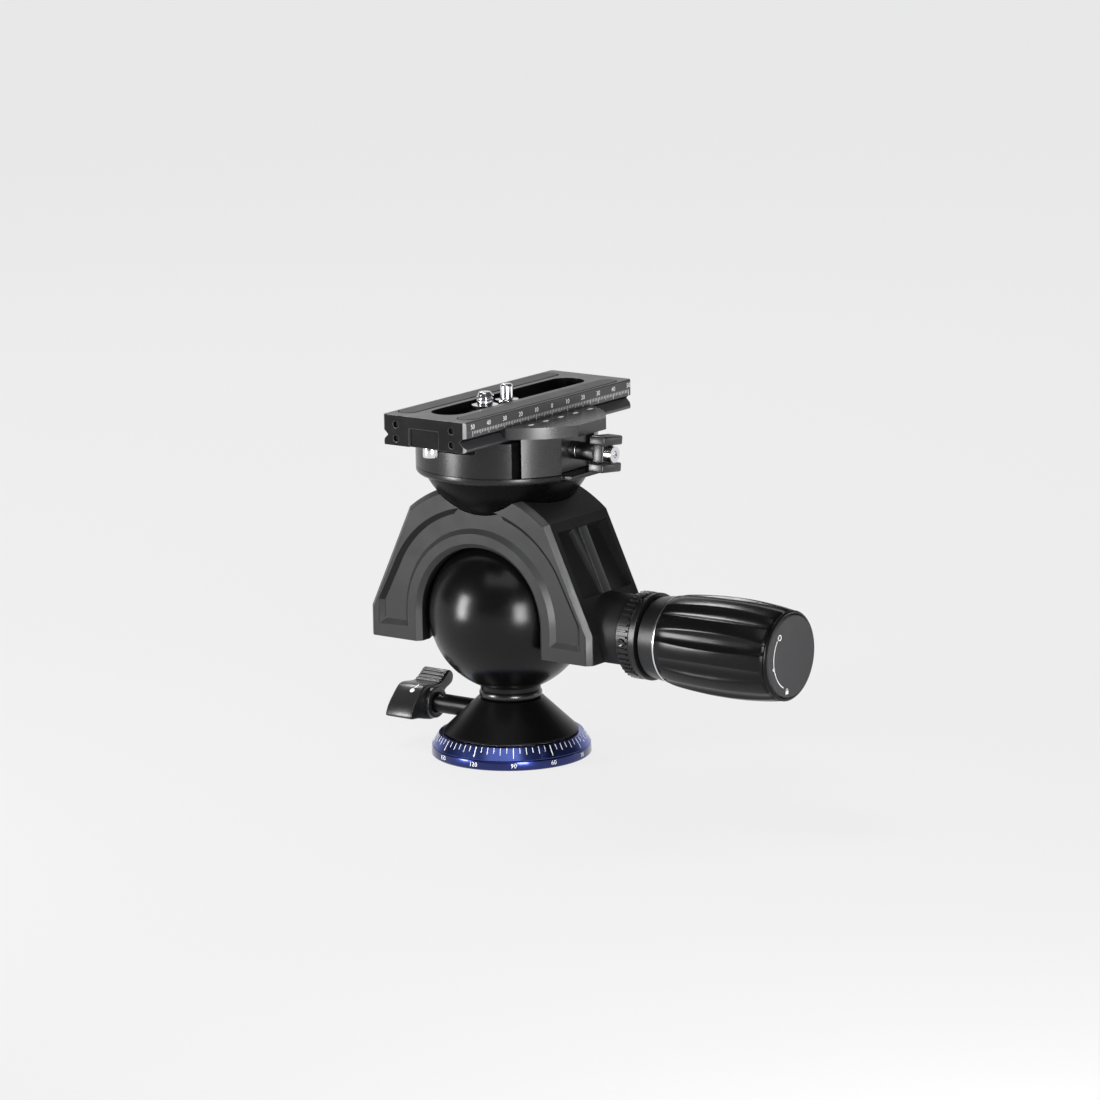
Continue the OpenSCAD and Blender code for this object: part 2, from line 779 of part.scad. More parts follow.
// two-winged clamp knob
module clamp_wings() {
    color([0.05, 0.05, 0.055])
        translate([0, 0, clamp_axis_z])
            rotate([-6, 0, 0])
                translate([0, 0, -clamp_axis_z])
                    difference() {
                        union() {
                            for (s = [-1, 1])
                                translate([
                                    wing_x, -wing_w / 2,
                                    clamp_axis_z + s * (wing_reach - wing_t / 2) - wing_t / 2
                                ])
                                    cube([wing_len, wing_w, wing_t]);
                            translate([wing_x, -3.4, clamp_axis_z - wing_reach + wing_t / 2])
                                cube([wing_len - 2.2, 6.8, 2 * wing_reach - wing_t]);
                        }
                        bar_x(wing_x - 1, wing_x + wing_len, clamp_screw_d / 2, clamp_axis_z);
                    }
}

// bright screw that holds the wings on
module wing_screw() {
    color([0.8, 0.8, 0.82])
        difference() {
            union() {
                bar_x(wing_x + 3.5, wing_x + wing_len - 2.2, clamp_screw_d / 2, clamp_axis_z);
                bar_x(wing_x + wing_len - 2.2, wing_x + wing_len + 0.9, 3, clamp_axis_z);
            }
            translate([wing_x + wing_len - 0.7, 0, clamp_axis_z])
                rotate([0, 90, 0])
                    cylinder(h = 3, r = 1.5, $fn = 6);
        }
}

// shoe pressed on the ball by the main knob
module moving_shoe() {
    color([0.75, 0.72, 0.62])
        difference() {
            bar_x(12, shoe_end, shoe_r, knob_z);
            translate([0, 0, ball_z])
                sphere(r = shoe_face_r, $fn = 128);
        }
}

// threaded spindle of the main knob
module main_spindle() {
    color([0.6, 0.6, 0.62])
        bar_x(shoe_end + 0.1, spindle_end, spindle_d / 2, knob_z);
}

// black core: the smooth sleeve at the knob's root and the barrel inside the grip
module knob_core() {
    color([0.05, 0.05, 0.055])
        difference() {
            union() {
                translate([sleeve_x, 0, knob_z])
                    rotate([0, 90, 0])
                        cylinder(h = grip_x - 0.7 - sleeve_x, r1 = sleeve_d / 2, r2 = grip_root_d / 2 - 0.2);
                bar_x(grip_x - 0.7, core_end, core_r, knob_z);
            }
            bar_x(sleeve_x - 1, spindle_end, spindle_d / 2, knob_z);
        }
}

// thin bright ring between sleeve and grip
module line_ring() {
    color([0.75, 0.76, 0.78])
        difference() {
            bar_x(grip_x - 0.7, grip_x, grip_root_d / 2, knob_z);
            bar_x(grip_x - 1, grip_x + 1, core_r, knob_z);
        }
}

// barrel-shaped grip with long flutes
module knob_grip() {
    glen = grip_end - grip_x;
    color([0.04, 0.04, 0.045])
        translate([grip_x, 0, knob_z])
            rotate([0, 90, 0])
                difference() {
                    rotate_extrude()
                        polygon([
                            [core_r, 0], [grip_root_d / 2, 0],
                            [grip_root_d / 2 + (grip_d - grip_root_d) * 0.19, 0.083 * glen],
                            [grip_root_d / 2 + (grip_d - grip_root_d) * 0.355, 0.228 * glen],
                            [grip_root_d / 2 + (grip_d - grip_root_d) * 0.465, 0.37 * glen],
                            [grip_d / 2, 0.5 * glen], [grip_d / 2, 0.6 * glen],
                            [grip_d / 2 - (grip_d - grip_end_d) * 0.06, 0.7 * glen],
                            [grip_d / 2 - (grip_d - grip_end_d) * 0.16, 0.8 * glen],
                            [grip_d / 2 - (grip_d - grip_end_d) * 0.31, 0.9 * glen],
                            [grip_end_d / 2, glen], [cap_d / 2, glen],
                            [cap_d / 2, core_end - grip_x], [core_r, core_end - grip_x]
                        ]);
                    for (i = [0 : flutes - 1])
                        rotate([0, 0, i * 360 / flutes])
                            translate([grip_d / 2 + flute_r - flute_depth, 0, -1])
                                cylinder(h = glen + 2, r = flute_r, $fn = 64);
                }
}

// narrow ring round the end cap
module knob_bezel() {
    color([0.06, 0.06, 0.065])
        translate([grip_end, 0, knob_z])
            rotate([0, 90, 0])
                difference() {
                    cylinder(h = bezel_len, r1 = grip_end_d / 2, r2 = grip_end_d / 2 - 0.7);
                    translate([0, 0, -1])
                        cylinder(h = 4, d = cap_d);
                }
}

// flat grey end cap
module knob_cap() {
    color([0.2, 0.2, 0.21])
        bar_x(core_end, grip_end + cap_proud, cap_d / 2, knob_z);
}

// ring that sets the least drag on the ball
module friction_ring() {
    color([0.06, 0.06, 0.065])
        difference() {
            bar_x(friction_x, friction_x + friction_len, friction_d / 2, knob_z);
            bar_x(friction_x - 1, friction_x + friction_len + 1, nose_d / 2 + run_fit, knob_z);
            translate([friction_x + 5.7, 0, knob_z])
                rotate([0, 90, 0])
                    difference() {
                        cylinder(h = 0.5, d = friction_d + 4);
                        translate([0, 0, -1])
                            cylinder(h = 3, d = friction_d - 1.2);
                    }
        }
}

// camera plate: dovetail sides, slot, channel and pad recesses
module plate() {
    color([0.09, 0.09, 0.095])
        difference() {
            translate([0, plate_y + plate_l / 2, 0])
                rotate([90, 0, 0])
                    linear_extrude(plate_l)
                        polygon([
                            [-plate_half + 0.6, plate_z], [-plate_half, plate_z + 0.6],
                            [-plate_half, plate_z + 1.3], [-vee_x, vee_z], [-vee_x - 1.4, slab_z],
                            [-plate_half, slab_z], [-plate_half, plate_top - 0.4],
                            [-plate_half + 0.4, plate_top], [plate_half - 0.4, plate_top],
                            [plate_half, plate_top - 0.4], [plate_half, slab_z],
                            [vee_x + 1.4, slab_z], [vee_x, vee_z], [plate_half, plate_z + 1.3],
                            [plate_half, plate_z + 0.6], [plate_half - 0.6, plate_z]
                        ]);
            slot_space(slot_w, plate_z - 1, plate_t + 2);
            slot_space(channel_w, plate_z - 1, channel_h + 1);
            for (s = [-1, 1])
                pad_shape(s, plate_top - 1, 2);
            for (sx = [-1, 1])
                for (sy = [-1, 1])
                    translate([sx * plate_half, plate_y + sy * plate_l / 2, plate_z + plate_t / 2])
                        rotate([0, 0, 45])
                            cube([1.5, 1.5, plate_t + 4], center = true);
            for (sy = [-1, 1])
                translate([0, plate_y + sy * stop_y, plate_z - 1])
                    cylinder(h = 4, d = 3);
            end_screw_places()
                cylinder(h = 2 * end_screw_len, d = end_screw_d, center = true);
            for (sy = [-1, 1])
                translate([-end_notch_w / 2, plate_y + sy * plate_l / 2 - end_notch_deep, plate_z - 1])
                    cube([end_notch_w, 2 * end_notch_deep, end_notch_h + 1]);
        }
}

// round-ended space along Y, centred on the plate's slot
module slot_space(w, z0, h) {
    translate([0, 0, z0])
        linear_extrude(h)
            union() {
                translate([0, plate_y - (slot_l - slot_w) / 2])
                    circle(d = w);
                translate([0, plate_y + (slot_l - slot_w) / 2])
                    circle(d = w);
                translate([-w / 2, plate_y - (slot_l - slot_w) / 2])
                    square([w, slot_l - slot_w]);
            }
}

// round-ended rubber pad on side s
module pad_shape(s, z0, h) {
    translate([s * pad_x, plate_y, z0])
        linear_extrude(h)
            union() {
                translate([0, (pad_l - pad_w) / 2])
                    circle(d = pad_w);
                translate([0, -(pad_l - pad_w) / 2])
                    circle(d = pad_w);
                translate([-pad_w / 2, -(pad_l - pad_w) / 2])
                    square([pad_w, pad_l - pad_w]);
            }
}

// places of the small screws in the plate's two ends
module end_screw_places() {
    for (sy = [-1, 1])
        for (sx = [-1, 1])
            for (dz = [0, end_screw_step])
                translate([sx * end_screw_x, plate_y + sy * plate_l / 2, plate_top - end_screw_drop - dz])
                    rotate([90, 0, 0])
                        children();
}

// rubber pads let into the plate's top
module pad_left() {
    color([0.07, 0.07, 0.07])
        pad_shape(-1, plate_top - 1, 1.2);
}

module pad_right() {
    color([0.07, 0.07, 0.07])
        pad_shape(1, plate_top - 1, 1.2);
}

// stop pins under the plate's two ends
module stop_pins() {
    color([0.75, 0.75, 0.77])
        for (sy = [-1, 1])
            translate([0, plate_y + sy * stop_y, plate_z])
                union() {
                    translate([0, 0, -stop_h])
                        cylinder(h = stop_h, d = stop_d);
                    cylinder(h = 3, d = 3);
                }
}

// small screws in the plate's two ends
module end_screws() {
    color([0.3, 0.3, 0.31])
        difference() {
            end_screw_places()
                cylinder(h = 2 * end_screw_len, d = end_screw_d, center = true);
            for (sy = [-1, 1])
                translate([
                    -plate_w, plate_y + sy * (plate_l / 2 - end_screw_sink + end_screw_len) - end_screw_len, plate_z
                ])
                    cube([2 * plate_w, 2 * end_screw_len, plate_w]);
        }
}

// foot of a slider: a disc with two flats that runs in the channel
module slider_foot(y) {
    translate([0, y, slider_z - slider_t])
        intersection() {
            cylinder(h = slider_t, d = channel_w - 2 * free_gap);
            translate([-channel_w / 2, -slider_r, -1])
                cube([channel_w, 2 * slider_r, slider_t + 2]);
        }
}

// slider that carries the camera screw along the slot
module screw_slider() {
    color([0.1, 0.1, 0.105])
        difference() {
            union() {
                slider_foot(cam_y);
                translate([0, cam_y, slider_z - 0.5])
                    cylinder(h = slider_rise + 0.5, d = slider_d);
                translate([0, cam_y, slider_z])
                    cylinder(h = plate_top - slider_z - 0.8, d = cam_flange_d);
            }
            translate([0, cam_y, plate_z - 1])
                cylinder(h = 30, d = cam_shank_d + 2 * run_fit);
        }
}

// quarter-inch camera screw with its head under the slider
module camera_screw() {
    color([0.8, 0.8, 0.82])
        translate([0, cam_y, 0])
            difference() {
                union() {
                    translate([0, 0, slider_z - slider_t - 2.2])
                        cylinder(h = 2, d = slider_d - 0.4);
                    translate([0, 0, slider_z - slider_t - 0.3])
                        cylinder(h = plate_top - slider_z + slider_t, d = cam_shank_d);
                    translate([0, 0, plate_top - 0.6])
                        cylinder(h = cam_up - 0.4, d = cam_d);
                    translate([0, 0, plate_top + cam_up - 1])
                        cylinder(h = 1, r1 = cam_d / 2, r2 = cam_d / 2 - 0.9);
                }
                translate([-10, -0.6, slider_z - slider_t - 3])
                    cube([20, 1.2, 1.7]);
            }
}

// slider that carries the video pin along the slot
module pin_slider() {
    color([0.1, 0.1, 0.105])
        difference() {
            union() {
                slider_foot(pin_y);
                translate([0, pin_y, slider_z - 0.5])
                    cylinder(h = slider_rise + 0.5, d = slider_d);
            }
            translate([0, pin_y, plate_z - 1])
                cylinder(h = 30, d = pin_d);
        }
}

// bright video pin with its flange
module video_pin() {
    color([0.8, 0.8, 0.82])
        translate([0, pin_y, 0])
            union() {
                translate([0, 0, slider_z - slider_t])
                    cylinder(h = plate_top + pin_up - 0.7 - slider_z + slider_t, d = pin_d);
                translate([0, 0, slider_z + slider_rise])
                    cylinder(h = plate_top - 0.8 - slider_z - slider_rise, d = pin_flange_d);
                translate([0, 0, plate_top + pin_up - 0.7])
                    cylinder(h = 0.7, r1 = pin_d / 2, r2 = pin_d / 2 - 0.7);
            }
}

base_plate();
thread_insert();
scale_ring();
glide_ring();
pan_body();
ball();
ball_bolt();
pan_pad();
pan_spindle();
pan_wing();
neck_ring();
fixed_shoe();
housing();
bowl();
clamp_base();
clamp_bolt();
jaw_pins();
moving_shoe();
main_spindle();
knob_core();
line_ring();
knob_grip();
knob_bezel();
knob_cap();
friction_ring();
jaw();
clamp_screw();
clamp_wings();
wing_screw();
plate();
pad_left();
pad_right();
stop_pins();
end_screws();
screw_slider();
camera_screw();
pin_slider();
video_pin();
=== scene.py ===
import math
import bmesh
import bpy
from mathutils import Matrix, Vector


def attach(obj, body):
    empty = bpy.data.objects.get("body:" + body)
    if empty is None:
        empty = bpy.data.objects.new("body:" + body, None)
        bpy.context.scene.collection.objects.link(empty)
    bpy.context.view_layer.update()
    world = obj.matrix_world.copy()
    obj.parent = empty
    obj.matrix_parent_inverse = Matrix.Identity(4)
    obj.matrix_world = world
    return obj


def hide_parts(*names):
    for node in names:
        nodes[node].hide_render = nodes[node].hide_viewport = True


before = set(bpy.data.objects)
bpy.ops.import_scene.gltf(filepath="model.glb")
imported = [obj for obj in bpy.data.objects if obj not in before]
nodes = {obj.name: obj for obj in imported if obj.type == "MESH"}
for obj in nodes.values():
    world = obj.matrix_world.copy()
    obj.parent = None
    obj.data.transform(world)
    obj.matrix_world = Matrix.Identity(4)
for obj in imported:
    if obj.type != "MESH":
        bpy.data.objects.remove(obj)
bpy.context.view_layer.update()


# Studio: a plain pale paper floor, a pale backdrop behind the object in an otherwise dim
# room, soft lamps, and the camera where the photograph was taken from.
paper = (0.865, 0.865, 0.865, 1.0)
OWN_COLOUR = 0.92  # share of the paper that is seen as it is; the rest takes light and shadow
sheet = bmesh.new()
bmesh.ops.create_grid(sheet, x_segments=1, y_segments=1, size=8.0)
floor_mesh = bpy.data.meshes.new("studio_floor")
sheet.to_mesh(floor_mesh)
sheet.free()
floor = bpy.data.objects.new("studio_floor", floor_mesh)
bpy.context.scene.collection.objects.link(floor)
floor_paper = bpy.data.materials.new("studio_paper")
floor_paper.use_nodes = True
tree = floor_paper.node_tree
tree.nodes.clear()
out = tree.nodes.new("ShaderNodeOutputMaterial")
lit = tree.nodes.new("ShaderNodeBsdfDiffuse")
lit.inputs["Color"].default_value = paper
seen = tree.nodes.new("ShaderNodeEmission")
seen.inputs["Color"].default_value = paper
path = tree.nodes.new("ShaderNodeLightPath")
camera_or_gloss = tree.nodes.new("ShaderNodeMath")
camera_or_gloss.operation = "MAXIMUM"
tree.links.new(path.outputs["Is Camera Ray"], camera_or_gloss.inputs[0])
tree.links.new(path.outputs["Is Glossy Ray"], camera_or_gloss.inputs[1])
or_glass = tree.nodes.new("ShaderNodeMath")
or_glass.operation = "MAXIMUM"
tree.links.new(camera_or_gloss.outputs[0], or_glass.inputs[0])
tree.links.new(path.outputs["Is Transmission Ray"], or_glass.inputs[1])
share = tree.nodes.new("ShaderNodeMath")
share.operation = "MULTIPLY"
share.inputs[1].default_value = OWN_COLOUR
tree.links.new(or_glass.outputs[0], share.inputs[0])
mix = tree.nodes.new("ShaderNodeMixShader")
tree.links.new(share.outputs[0], mix.inputs[0])
tree.links.new(lit.outputs[0], mix.inputs[1])
tree.links.new(seen.outputs[0], mix.inputs[2])
tree.links.new(mix.outputs[0], out.inputs["Surface"])
floor.data.materials.append(floor_paper)

eye = Vector((1.152756, -1.573378, 0.495010))
ahead = Vector((-0.57161232, 0.79346661, -0.20897389)).normalized()
CAMERA_LEAN = math.radians(-0.81)
level_right = ahead.cross(Vector((0, 0, 1))).normalized()
level_up = level_right.cross(ahead)
right = math.cos(CAMERA_LEAN) * level_right + math.sin(CAMERA_LEAN) * level_up
up = -math.sin(CAMERA_LEAN) * level_right + math.cos(CAMERA_LEAN) * level_up
camera = bpy.data.objects.new("camera", bpy.data.cameras.new("camera"))
camera.data.sensor_width = 36.0
camera.data.lens = 172.82
camera.data.clip_start = 0.05
camera.data.clip_end = 50.0
camera.matrix_world = Matrix((
    (right.x, up.x, -ahead.x, eye.x),
    (right.y, up.y, -ahead.y, eye.y),
    (right.z, up.z, -ahead.z, eye.z),
    (0, 0, 0, 1)))
bpy.context.scene.collection.objects.link(camera)
bpy.context.scene.camera = camera

BACKDROP_SIDES = (0.40, 0.75)  # each pair is where an edge of the backdrop fades out and in
BACKDROP_TOP = (0.60, 0.35)
HORIZON = (0.10, 0.04)
dim_room = (0.07, 0.07, 0.073, 1.0)
world = bpy.data.worlds.new("studio")
world.use_nodes = True
bpy.context.scene.world = world
tree = world.node_tree
tree.nodes.clear()
out = tree.nodes.new("ShaderNodeOutputWorld")
backdrop = tree.nodes.new("ShaderNodeBackground")
backdrop.inputs["Strength"].default_value = 1.0
towards = tree.nodes.new("ShaderNodeTexCoord")
split = tree.nodes.new("ShaderNodeSeparateXYZ")
tree.links.new(towards.outputs["Generated"], split.inputs[0])


def ramp(value, start, end):
    """0 at start, 1 at end, for the backdrop's edges."""
    step = tree.nodes.new("ShaderNodeMapRange")
    step.inputs["From Min"].default_value = start
    step.inputs["From Max"].default_value = end
    tree.links.new(value, step.inputs["Value"])
    return step.outputs["Result"]


behind = tree.nodes.new("ShaderNodeVectorMath")
behind.operation = "DOT_PRODUCT"
behind.inputs[1].default_value = Vector((ahead.x, ahead.y, 0)).normalized()
tree.links.new(towards.outputs["Generated"], behind.inputs[0])
on_backdrop = tree.nodes.new("ShaderNodeMath")
on_backdrop.operation = "MULTIPLY"
tree.links.new(ramp(behind.outputs["Value"], *BACKDROP_SIDES), on_backdrop.inputs[0])
tree.links.new(ramp(split.outputs["Z"], *BACKDROP_TOP), on_backdrop.inputs[1])
pale = tree.nodes.new("ShaderNodeMath")
pale.operation = "MAXIMUM"
tree.links.new(on_backdrop.outputs[0], pale.inputs[0])
tree.links.new(ramp(split.outputs["Z"], *HORIZON), pale.inputs[1])
fade = tree.nodes.new("ShaderNodeMix")
fade.data_type = "RGBA"
fade.inputs["A"].default_value = dim_room
fade.inputs["B"].default_value = paper
tree.links.new(pale.outputs[0], fade.inputs["Factor"])
tree.links.new(fade.outputs["Result"], backdrop.inputs["Color"])
tree.links.new(backdrop.outputs[0], out.inputs["Surface"])


def soft_lamp(name, toward, distance, wide, tall, watts):
    """A soft box that looks at the ball; toward is to the camera's right, up and back."""
    aim = Vector((0.01, 0, 0.07))
    level_back = -Vector((ahead.x, ahead.y, 0)).normalized()
    way = toward[0] * level_right + toward[1] * Vector((0, 0, 1)) + toward[2] * level_back
    place = aim + distance * way.normalized()
    data = bpy.data.lights.new(name, "AREA")
    data.shape = "RECTANGLE"
    data.size, data.size_y = wide, tall
    data.energy = watts
    lamp = bpy.data.objects.new(name, data)
    lamp.location = place
    lamp.rotation_mode = "QUATERNION"
    lamp.rotation_quaternion = (aim - place).to_track_quat("-Z", "Y")
    lamp.visible_camera = False
    bpy.context.scene.collection.objects.link(lamp)


soft_lamp("lamp_left", (-0.94, 0.13, 0.32), 0.60, 0.14, 0.27, 4.0)
soft_lamp("lamp_front", (0.26, 0.12, 0.96), 0.65, 0.17, 0.27, 4.0)
soft_lamp("lamp_above", (-0.15, 0.86, 0.48), 1.2, 0.95, 0.55, 2.8)
soft_lamp("lamp_right", (0.97, 0.04, -0.24), 1.1, 0.10, 0.20, 0.4)
soft_lamp("lamp_behind", (-0.30, 0.76, -0.58), 1.3, 0.5, 0.2, 8.0)


# Round base: turned aluminium, dyed blue and anodised, screwed on the tripod's stud.
# Its hub stands up inside the cone above it.
MM = 0.001


def turned(profile, axis="Z", centre=(0.0, 0.0), steps=96):
    """A lathe shape in millimetres: profile is (along, radius), centre is the axis's place."""
    bm = bmesh.new()
    points = []
    for along, radius in profile:
        if axis == "Z":
            points.append(bm.verts.new((centre[0] + radius, centre[1], along)))
        else:
            points.append(bm.verts.new((along, centre[0] - radius, centre[1])))
    sides = [bm.edges.new(pair) for pair in zip(points, points[1:])]
    if profile[0][1] > 0 or profile[-1][1] > 0:
        sides.append(bm.edges.new((points[-1], points[0])))
    middle = (centre[0], centre[1], 0) if axis == "Z" else (0, centre[0], centre[1])
    about = (0, 0, 1) if axis == "Z" else (1, 0, 0)
    bmesh.ops.spin(bm, geom=points + sides, cent=middle, axis=about,
                   angle=2 * math.pi, steps=steps, use_merge=True)
    bmesh.ops.remove_doubles(bm, verts=bm.verts, dist=1e-4)
    bmesh.ops.recalc_face_normals(bm, faces=bm.faces)
    return bm


def ease(bm, width, segments=2, sharper_than=28.0):
    """Rounds every edge that is sharper than the angle."""
    edges = [e for e in bm.edges
             if e.is_manifold and e.calc_face_angle(0.0) > math.radians(sharper_than)]
    bmesh.ops.bevel(bm, geom=edges, offset=width, offset_type="OFFSET", segments=segments,
                    profile=0.5, affect="EDGES", clamp_overlap=True, material=-1)
    return bm


def fit(name, bm, body, material, slot, *stands_for, sharp=32.0, even=False):
    """Sets a finished mesh, made in millimetres, in the frame, on its body."""
    bmesh.ops.scale(bm, vec=(MM, MM, MM), verts=bm.verts)
    mesh = bpy.data.meshes.new(name)
    bm.to_mesh(mesh)
    bm.free()
    mesh.polygons.foreach_set("use_smooth", [True] * len(mesh.polygons))
    mesh.set_sharp_from_angle(angle=math.radians(sharp))
    obj = bpy.data.objects.new(name, mesh)
    bpy.context.scene.collection.objects.link(obj)
    for one in material if isinstance(material, tuple) else (material,):
        mesh.materials.append(one)
    if even:
        flat_light = obj.modifiers.new("flat_faces_stay_flat", "WEIGHTED_NORMAL")
        flat_light.weight = 100
        flat_light.keep_sharp = True
    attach(obj, body)
    if stands_for:
        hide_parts(*stands_for)
    return obj


def finish(name, colour, rough, metal=0.0, spec=0.5, coat=0.0, cloud=0.12, grain=2200.0,
           tooth=0.000012, stretch=(1.0, 1.0, 1.0)):
    """A worked surface: fine grain in the bump, and slow clouds in the colour and the gloss."""
    material = bpy.data.materials.new(name)
    material.use_nodes = True
    tree = material.node_tree
    shader = tree.nodes["Principled BSDF"]
    shader.inputs["Metallic"].default_value = metal
    shader.inputs["Specular IOR Level"].default_value = spec
    shader.inputs["Coat Weight"].default_value = coat
    shader.inputs["Coat Roughness"].default_value = 0.12
    where = tree.nodes.new("ShaderNodeTexCoord")
    slow = tree.nodes.new("ShaderNodeTexNoise")
    slow.inputs["Scale"].default_value = 95.0
    slow.inputs["Detail"].default_value = 6.0
    slow.inputs["Roughness"].default_value = 0.62
    tree.links.new(where.outputs["Object"], slow.inputs["Vector"])
    tint = tree.nodes.new("ShaderNodeMix")
    tint.data_type = "RGBA"
    tint.inputs["A"].default_value = (*(c * (1 - cloud) for c in colour), 1)
    tint.inputs["B"].default_value = (*(c * (1 + cloud) for c in colour), 1)
    tree.links.new(slow.outputs["Fac"], tint.inputs["Factor"])
    tree.links.new(tint.outputs["Result"], shader.inputs["Base Color"])
    gloss = tree.nodes.new("ShaderNodeMapRange")
    gloss.inputs["From Min"].default_value = 0.3
    gloss.inputs["From Max"].default_value = 0.7
    gloss.inputs["To Min"].default_value = rough * 0.86
    gloss.inputs["To Max"].default_value = rough * 1.16
    tree.links.new(slow.outputs["Fac"], gloss.inputs["Value"])
    tree.links.new(gloss.outputs["Result"], shader.inputs["Roughness"])
    drawn = tree.nodes.new("ShaderNodeMapping")
    drawn.inputs["Scale"].default_value = stretch
    tree.links.new(where.outputs["Object"], drawn.inputs["Vector"])
    fine = tree.nodes.new("ShaderNodeTexNoise")
    fine.inputs["Scale"].default_value = grain
    fine.inputs["Detail"].default_value = 2.0
    tree.links.new(drawn.outputs["Vector"], fine.inputs["Vector"])
    bump = tree.nodes.new("ShaderNodeBump")
    bump.inputs["Distance"].default_value = tooth
    bump.inputs["Strength"].default_value = 1.0
    tree.links.new(fine.outputs["Fac"], bump.inputs["Height"])
    tree.links.new(bump.outputs["Normal"], shader.inputs["Normal"])
    return material


def coat_node(node, material):
    """Gives a CAD node that stays its finish."""
    data = nodes[node].data
    data.materials.clear()
    data.materials.append(material)


blue_anodised = finish("blue_anodised", (0.012, 0.022, 0.13), 0.24, metal=1.0, coat=0.6,
                       cloud=0.08, grain=1500.0, tooth=0.000006, stretch=(0.05, 0.05, 1.0))
steel = finish("turned_steel", (0.50, 0.50, 0.51), 0.30, metal=1.0, grain=1800.0)
RIM_R, RIM_H, BEVEL_R, BEVEL_H, RING_BORE = 30.5, 3.7, 27.5, 8.3, 24.5
HUB_R, GROOVE_R, BASE_STEPS = 9.95, 8.6, 144
base = turned([(10.0, 0), (10.0, 6.5), (0, 6.5), (0, 14.0), (0.5, 14.3), (0.5, 19.0), (0, 19.3),
               (0, RIM_R - 0.5), (0.5, RIM_R), (RIM_H - 0.35, RIM_R - 0.25),
               (RIM_H - 0.05, RIM_R - 0.55), (RIM_H - 0.05, RING_BORE), (7.95, RING_BORE),
               (7.95, HUB_R), (11.3, HUB_R), (11.3, GROOVE_R), (18.1, GROOVE_R),
               (18.1, HUB_R), (18.9, HUB_R), (18.9, 0)], steps=BASE_STEPS)
fit("base_plate_turned", ease(base, 0.12), "base", blue_anodised, "blue_anodised", "base_plate")
coat_node("thread_insert", steel)
coat_node("glide_ring", finish("glide_plastic", (0.62, 0.61, 0.57), 0.45))


# Scale ring: a bevelled ring of the same blue aluminium pressed on the base, given a lighter blue
# than the base's rim as a painted highlight from above. A white line is filled in at every five
# degrees, and a number on the rim below at every thirty.
ring = turned([(RIM_H, RING_BORE), (RIM_H, RIM_R - 0.4), (RIM_H + 0.3, RIM_R - 0.2),
               (BEVEL_H - 0.15, BEVEL_R + 0.1), (BEVEL_H, BEVEL_R - 0.15),
               (BEVEL_H, RING_BORE)], steps=BASE_STEPS)
bevel_blue_painted_highlight = finish("bevel_blue_painted_highlight", (0.07, 0.105, 0.38), 0.22, metal=1.0, coat=0.2, cloud=0.08,
                    grain=1500.0, tooth=0.000006)
fit("scale_ring_turned", ring, "base", bevel_blue_painted_highlight, "blue_anodised", "scale_ring", sharp=20.0)


def block(bm, size):
    """Adds a block round the origin, and gives its vertices."""
    corners = bmesh.ops.create_cube(bm, size=1.0)["verts"]
    bmesh.ops.scale(bm, vec=size, verts=corners)
    return corners


mark_white = finish("mark_white", (0.78, 0.78, 0.76), 0.5, cloud=0.05, tooth=0.000004)
slope = Vector((RIM_R - BEVEL_R, 0, RIM_H - BEVEL_H)).normalized()
slope_out = Vector((-slope.z, 0, slope.x))
SCALE_TURN = 7.5 - 90.0  # degrees that bring the scale to where the photograph shows it
LONG_LINE, MIDDLE_LINE, SHORT_LINE = 4.2, 2.8, 2.2
LONG_LINE_WIDE, LINE_WIDE, LINE_THICK = 0.34, 0.24, 0.06
lines = bmesh.new()
for five in range(72):
    reach = LONG_LINE if five % 6 == 0 else MIDDLE_LINE if five % 2 == 0 else SHORT_LINE
    wide = LINE_WIDE if five % 6 else LONG_LINE_WIDE
    made = block(lines, (reach, wide, LINE_THICK))
    middle = Vector((BEVEL_R, 0, BEVEL_H)) + slope * (0.1 + reach / 2) + slope_out * 0.01
    lay = Matrix.Translation(middle) @ Matrix((slope, (0, 1, 0), slope_out)).transposed().to_4x4()
    turn = Matrix.Rotation(math.radians(five * 5 + SCALE_TURN), 4, "Z")
    bmesh.ops.transform(lines, matrix=turn @ lay, verts=made)
fit("scale_lines", lines, "base", mark_white, "glide_plastic")


def lettering(words, tall, thick=0.03):
    """Flat figures in millimetres, centred on the origin in X and Y, as a bmesh."""
    curve = bpy.data.curves.new("figures", "FONT")
    curve.body = words
    curve.size = tall / 0.69
    curve.align_x, curve.align_y = "CENTER", "CENTER"
    curve.extrude = thick
    curve.resolution_u = 3
    holder = bpy.data.objects.new("figures", curve)
    bpy.context.scene.collection.objects.link(holder)
    bpy.context.view_layer.update()
    mesh = bpy.data.meshes.new_from_object(holder)
    bm = bmesh.new()
    bm.from_mesh(mesh)
    bpy.data.objects.remove(holder)
    bpy.data.curves.remove(curve)
    bpy.data.meshes.remove(mesh)
    bmesh.ops.remove_doubles(bm, verts=bm.verts, dist=1e-4)
    return bm


def join(bm, other):
    """Adds another bmesh to this one."""
    mesh = bpy.data.meshes.new("joined")
    other.to_mesh(mesh)
    other.free()
    bm.from_mesh(mesh)
    bpy.data.meshes.remove(mesh)


RIM_FIGURE_TALL, RIM_FIGURE_Z, RIM_DRAFT = 1.6, 1.95, 0.086
rim_figures = bmesh.new()
for thirty in range(12):
    number = lettering(str((450 - thirty * 30) % 360), RIM_FIGURE_TALL)
    at = math.radians((thirty + 1) * 30 + SCALE_TURN)
    for vert in number.verts:
        way = at + vert.co.x / RIM_R
        out_r = RIM_R - 0.12 - vert.co.y * RIM_DRAFT + vert.co.z
        vert.co = (out_r * math.cos(way), out_r * math.sin(way), RIM_FIGURE_Z + vert.co.y)
    join(rim_figures, number)
fit("scale_figures", rim_figures, "base", mark_white, "glide_plastic")


